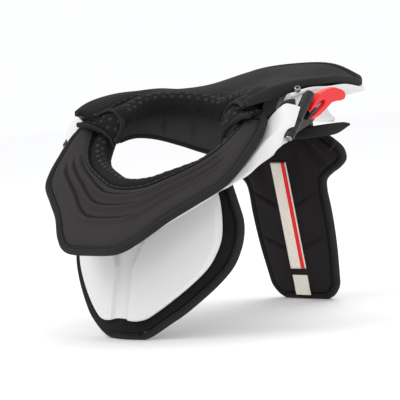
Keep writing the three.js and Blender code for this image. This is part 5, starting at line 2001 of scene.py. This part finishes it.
    def build_side(self, side: Side) -> None:
        """One shoulder pad and keeper loop.

        Args:
            side: the wearer's side.
        """
        cushion = self.shoulder().on(side).make(f"shoulder_cushion_{side.word}", merge=True)
        dress(cushion, [PAD_CLOTH], nodes=[f"shoulder_pad_{side.word}"])
        rows = spline(self.shoulder_rows, np.linspace(0, 1, 90))
        edge = np.column_stack([rows[:, 0:2], (rows[:, 4] + rows[:, 5]) / 2])
        back = unit(np.column_stack([rows[:, 2:4] - rows[:, 0:2], np.zeros(len(rows))]))
        inset, width, share = self.shoulder_edge
        tape = bound_edge(edge + back * inset, UP, width, (rows[:, 4] - rows[:, 5]) * share, 0.3)
        dress(tape.on(side).make(f"shoulder_tape_{side.word}"), [TAPE])
        thread = stitches(edge + back * 0.05, -back, 3.2)
        dress(thread.on(side).make(f"shoulder_stitches_{side.word}"), [THREAD])
        path = spline(self.loop_rows, np.linspace(0, 1, 50))
        loop = bound_edge(path, unit(np.array(self.loop_face)), *self.loop_band, 0.0)
        dress(loop.on(side).make(f"keeper_band_{side.word}"), [TAPE], nodes=[f"keeper_loop_{side.word}"])


@dataclass
class SideLatch:
    """Hinged black link, red lever and their steel on one side."""

    side: Side
    # Fineness in millimetres and rounds of easing of the link's and the lever's surface
    link_skin: tuple[float, int] = (0.45, 5)
    lever_skin: tuple[float, int] = (0.4, 9)
    # The lever's axle: its middle in the latch frame, its direction along and behind the pin, its two ends
    pivot: Triple = (35.2, 10.0, 2.1)
    swing: Pair = (-0.5, 0.866)
    axle: Pair = (-3.8, 4.2)
    # The hinge pin: where the link starts and ends on it, radius of its shank and caps, length of a cap
    span: Pair = (0.5, 49.0)
    shank: float = 1.7
    cap: Pair = (2.8, 1.6)
    # The adjuster's two ends in the latch frame and the turns of its thread
    adjuster: tuple[Triple, Triple] = ((44.2, 13, 1.6), (54, 17.6, 1.6))
    turns: int = 14
    # The domed screw: foot, direction and height, then share of the height and radius up its dome
    screw_at: Triple = (118.8, 31.0, 201.4)
    screw_axis: Triple = (0.5, -0.55, 0.67)
    screw_height: float = 3.0
    dome: Table = ((0.0, 2.6), (0.05, 2.9), (0.5, 2.9), (0.75, 2.6), (0.92, 2.0), (1.0, 1.7))
    socket: float = 1.6

    def build(self) -> None:
        """Make and dress the latch."""
        word = self.side.word
        link = remoulded(f"latch_link_{word}", f"link_moulding_{word}", *self.link_skin)
        dress(link, [BLACK], f"link_{word}", [f"latch_link_{word}"])
        lever = remoulded(f"latch_lever_{word}", f"lever_moulding_{word}", *self.lever_skin)
        dress(lever, [RED], f"lever_{word}", [f"latch_lever_{word}"])
        pin = self.pin().on(self.side).make(f"hinge_pin_{word}", sharp=CRISP)
        dress(pin, [STEEL], nodes=[f"link_pin_{word}"])
        along, behind, out = self.pivot
        ends = [LATCH.at(along + self.swing[0] * r, behind + self.swing[1] * r, out) for r in self.axle]
        axle = rod(*ends, 1.0, 0.3).on(self.side).make(f"lever_axle_{word}", sharp=CRISP)
        dress(axle, [STEEL], f"link_{word}", [f"lever_pin_{word}"])
        screw = self.threaded().on(self.side).make(f"adjuster_{word}", sharp=60)
        dress(screw, [STEEL], f"link_{word}", [f"latch_adjuster_{word}"])
        self.build_screw(word)

    def pin(self) -> Shell:
        """The long hinge pin with a cap at each end.

        Returns:
            The closed surface, on the wearer's left.
        """
        wide, tall = self.cap
        foot, head = self.span[0] - GAP - tall, self.span[1] + GAP + tall
        cap = tall / (head - foot)
        profile = (
            (0.0, 2.0), (0.004, 2.5), (0.012, wide), (cap, wide), (cap + 0.001, self.shank),
            (1 - cap - 0.001, self.shank), (1 - cap, wide), (0.985, wide), (0.996, 2.4), (1.0, 1.7),
        )
        return turned(LATCH.at(foot), LATCH.at(head), profile)

    def threaded(self) -> Shell:
        """The adjuster screw with its thread.

        Returns:
            The closed surface, on the wearer's left.
        """
        thread: list[Pair] = [(0.0, 0.8)]
        for k in range(self.turns):
            thread += [(0.06 + 0.05 * k, 0.92), (0.085 + 0.05 * k, 1.2)]
        thread += [(0.78, 1.0), (0.79, 1.2), (0.97, 1.2), (1.0, 0.9)]
        start, end = self.adjuster
        return turned(LATCH.at(*start), LATCH.at(*end), tuple(thread), 20)

    def build_screw(self, word: str) -> None:
        """The domed socket screw on the rear shell's front end.

        Args:
            word: the side as it ends a piece's name.
        """
        axis = unit(np.array(self.screw_axis))
        base = np.array(self.screw_at)
        head = turned(base, base + axis * self.screw_height, self.dome).on(self.side)
        head = head.make(f"shell_screw_{word}", sharp=50)
        socket = rod(base + axis * 1.2, base + axis * 5.0, self.socket, sides=6).on(self.side)
        dress(hollowed(head, [socket], CRISP), [STEEL], nodes=[f"frame_screw_{word}"])
        # A black disc at the foot of the hex socket is painted shade for the socket's deep inside
        floor = rod(base + axis * 1.25, base + axis * 1.6, self.socket - 0.1, sides=6).on(self.side)
        dress(floor.make(f"shell_screw_socket_{word}", sharp=CRISP), [BLACK])


@dataclass
class Studio:
    """Pale floor, soft light and the camera."""

    azimuth: float = 41.0
    elevation: float = 3.52
    roll: float = 3.68
    distance: float = 1.4
    lens: float = 140.6
    target: Triple = (0.0, 34.06, 109.1)
    # Columns: place in metres, size in metres, power in watts
    lamps: tuple[tuple[Triple, float, float], ...] = (
        ((-0.9, -1.3, 1.7), 1.2, 12.0),
        ((1.5, -1.0, 1.2), 1.0, 3.0),
        ((0.2, 0.6, 2.1), 1.4, 5.0),
        ((-0.6, 1.5, 1.2), 1.0, 2.0),
    )
    # Radius of each ring of the floor in metres, and the points round a ring
    floor_rings: tuple[float, ...] = (0.4, 1.5, 6.0, 14.0)
    floor_sides: int = 48

    def camera(self) -> None:
        """Stand the camera where the photograph was taken from."""
        a, e, r = (math.radians(v) for v in (self.azimuth, self.elevation, self.roll))
        back = Vector((math.sin(a) * math.cos(e), -math.cos(a) * math.cos(e), math.sin(e)))
        right = Vector((math.cos(a), math.sin(a), 0.0))
        up = back.cross(right)
        x = right * math.cos(r) - up * math.sin(r)
        y = right * math.sin(r) + up * math.cos(r)
        data = bpy.data.cameras.new("camera")
        data.lens, data.sensor_width, data.clip_end = self.lens, 36.0, 50.0
        camera = bpy.data.objects.new("camera", data)
        place = Vector(metres(np.array(self.target)).tolist()) + back * self.distance
        camera.matrix_world = Matrix.Translation(place) @ Matrix((x, y, back)).transposed().to_4x4()
        bpy.context.scene.collection.objects.link(camera)
        bpy.context.scene.camera = camera

    def light(self) -> None:
        """Hang the soft lamps and the pale surround."""
        for k, (place, size, power) in enumerate(self.lamps):
            data = bpy.data.lights.new(f"lamp_{k}", "AREA")
            data.shape, data.size, data.energy = "DISK", size, power
            lamp = bpy.data.objects.new(f"lamp_{k}", data)
            lamp.location = place
            lamp.rotation_euler = (Vector((0, 0, 0.1)) - lamp.location).to_track_quat("-Z", "Y").to_euler()
            bpy.context.scene.collection.objects.link(lamp)
        world = bpy.data.worlds.new("surround")
        world.use_nodes = True
        ground = world.node_tree.nodes["Background"]
        ground.inputs["Color"].default_value = (0.985, 0.99, 1.0, 1.0)
        ground.inputs["Strength"].default_value = 1.0
        bpy.context.scene.world = world
        bpy.context.scene.view_settings.view_transform = "Standard"

    def floor(self) -> None:
        """Lay the pale floor."""
        sides = self.floor_sides
        ring = np.stack([*oval(sides), np.zeros(sides)], axis=1)
        points = np.vstack([ring * r for r in self.floor_rings] + [np.zeros((1, 3))])
        faces = [[len(points) - 1, k, (k + 1) % sides] for k in range(sides)]
        for a in range(0, sides * (len(self.floor_rings) - 1), sides):
            b = a + sides
            faces += [[a + k, b + k, b + (k + 1) % sides, a + (k + 1) % sides] for k in range(sides)]
        mesh = bpy.data.meshes.new("floor")
        mesh.from_pydata((points - (0, 0, 0.0001)).tolist(), [], faces)
        floor = bpy.data.objects.new("floor", mesh)
        bench = Bench("pale_floor")
        speck = bench.noise(bench.solid(), 180.0, 3.0)
        pale = bench.blended(speck, (0.985, 0.985, 0.985), (0.975, 0.975, 0.978))
        bench.shade(Base_Color=pale, Roughness=0.8, Specular_IOR_Level=0.2)
        mesh.materials.append(bench.material)
        bpy.context.scene.collection.objects.link(floor)

    def build(self) -> None:
        """Set the scene."""
        self.camera()
        self.light()
        self.floor()


def main() -> None:
    """Build the studio and every sub-assembly in order."""
    logging.basicConfig(level=logging.INFO, format="%(name)s %(message)s")
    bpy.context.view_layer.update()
    Studio().build()
    FrontCollar().build()
    FrontHoop().build()
    ChestPiece().build()
    RearTable().build()
    RearFrame().build()
    BackPiece().build()
    for side in Side:
        RearTongue().build(side)
        SideLatch(side).build()


if __name__ == "__main__":
    main()
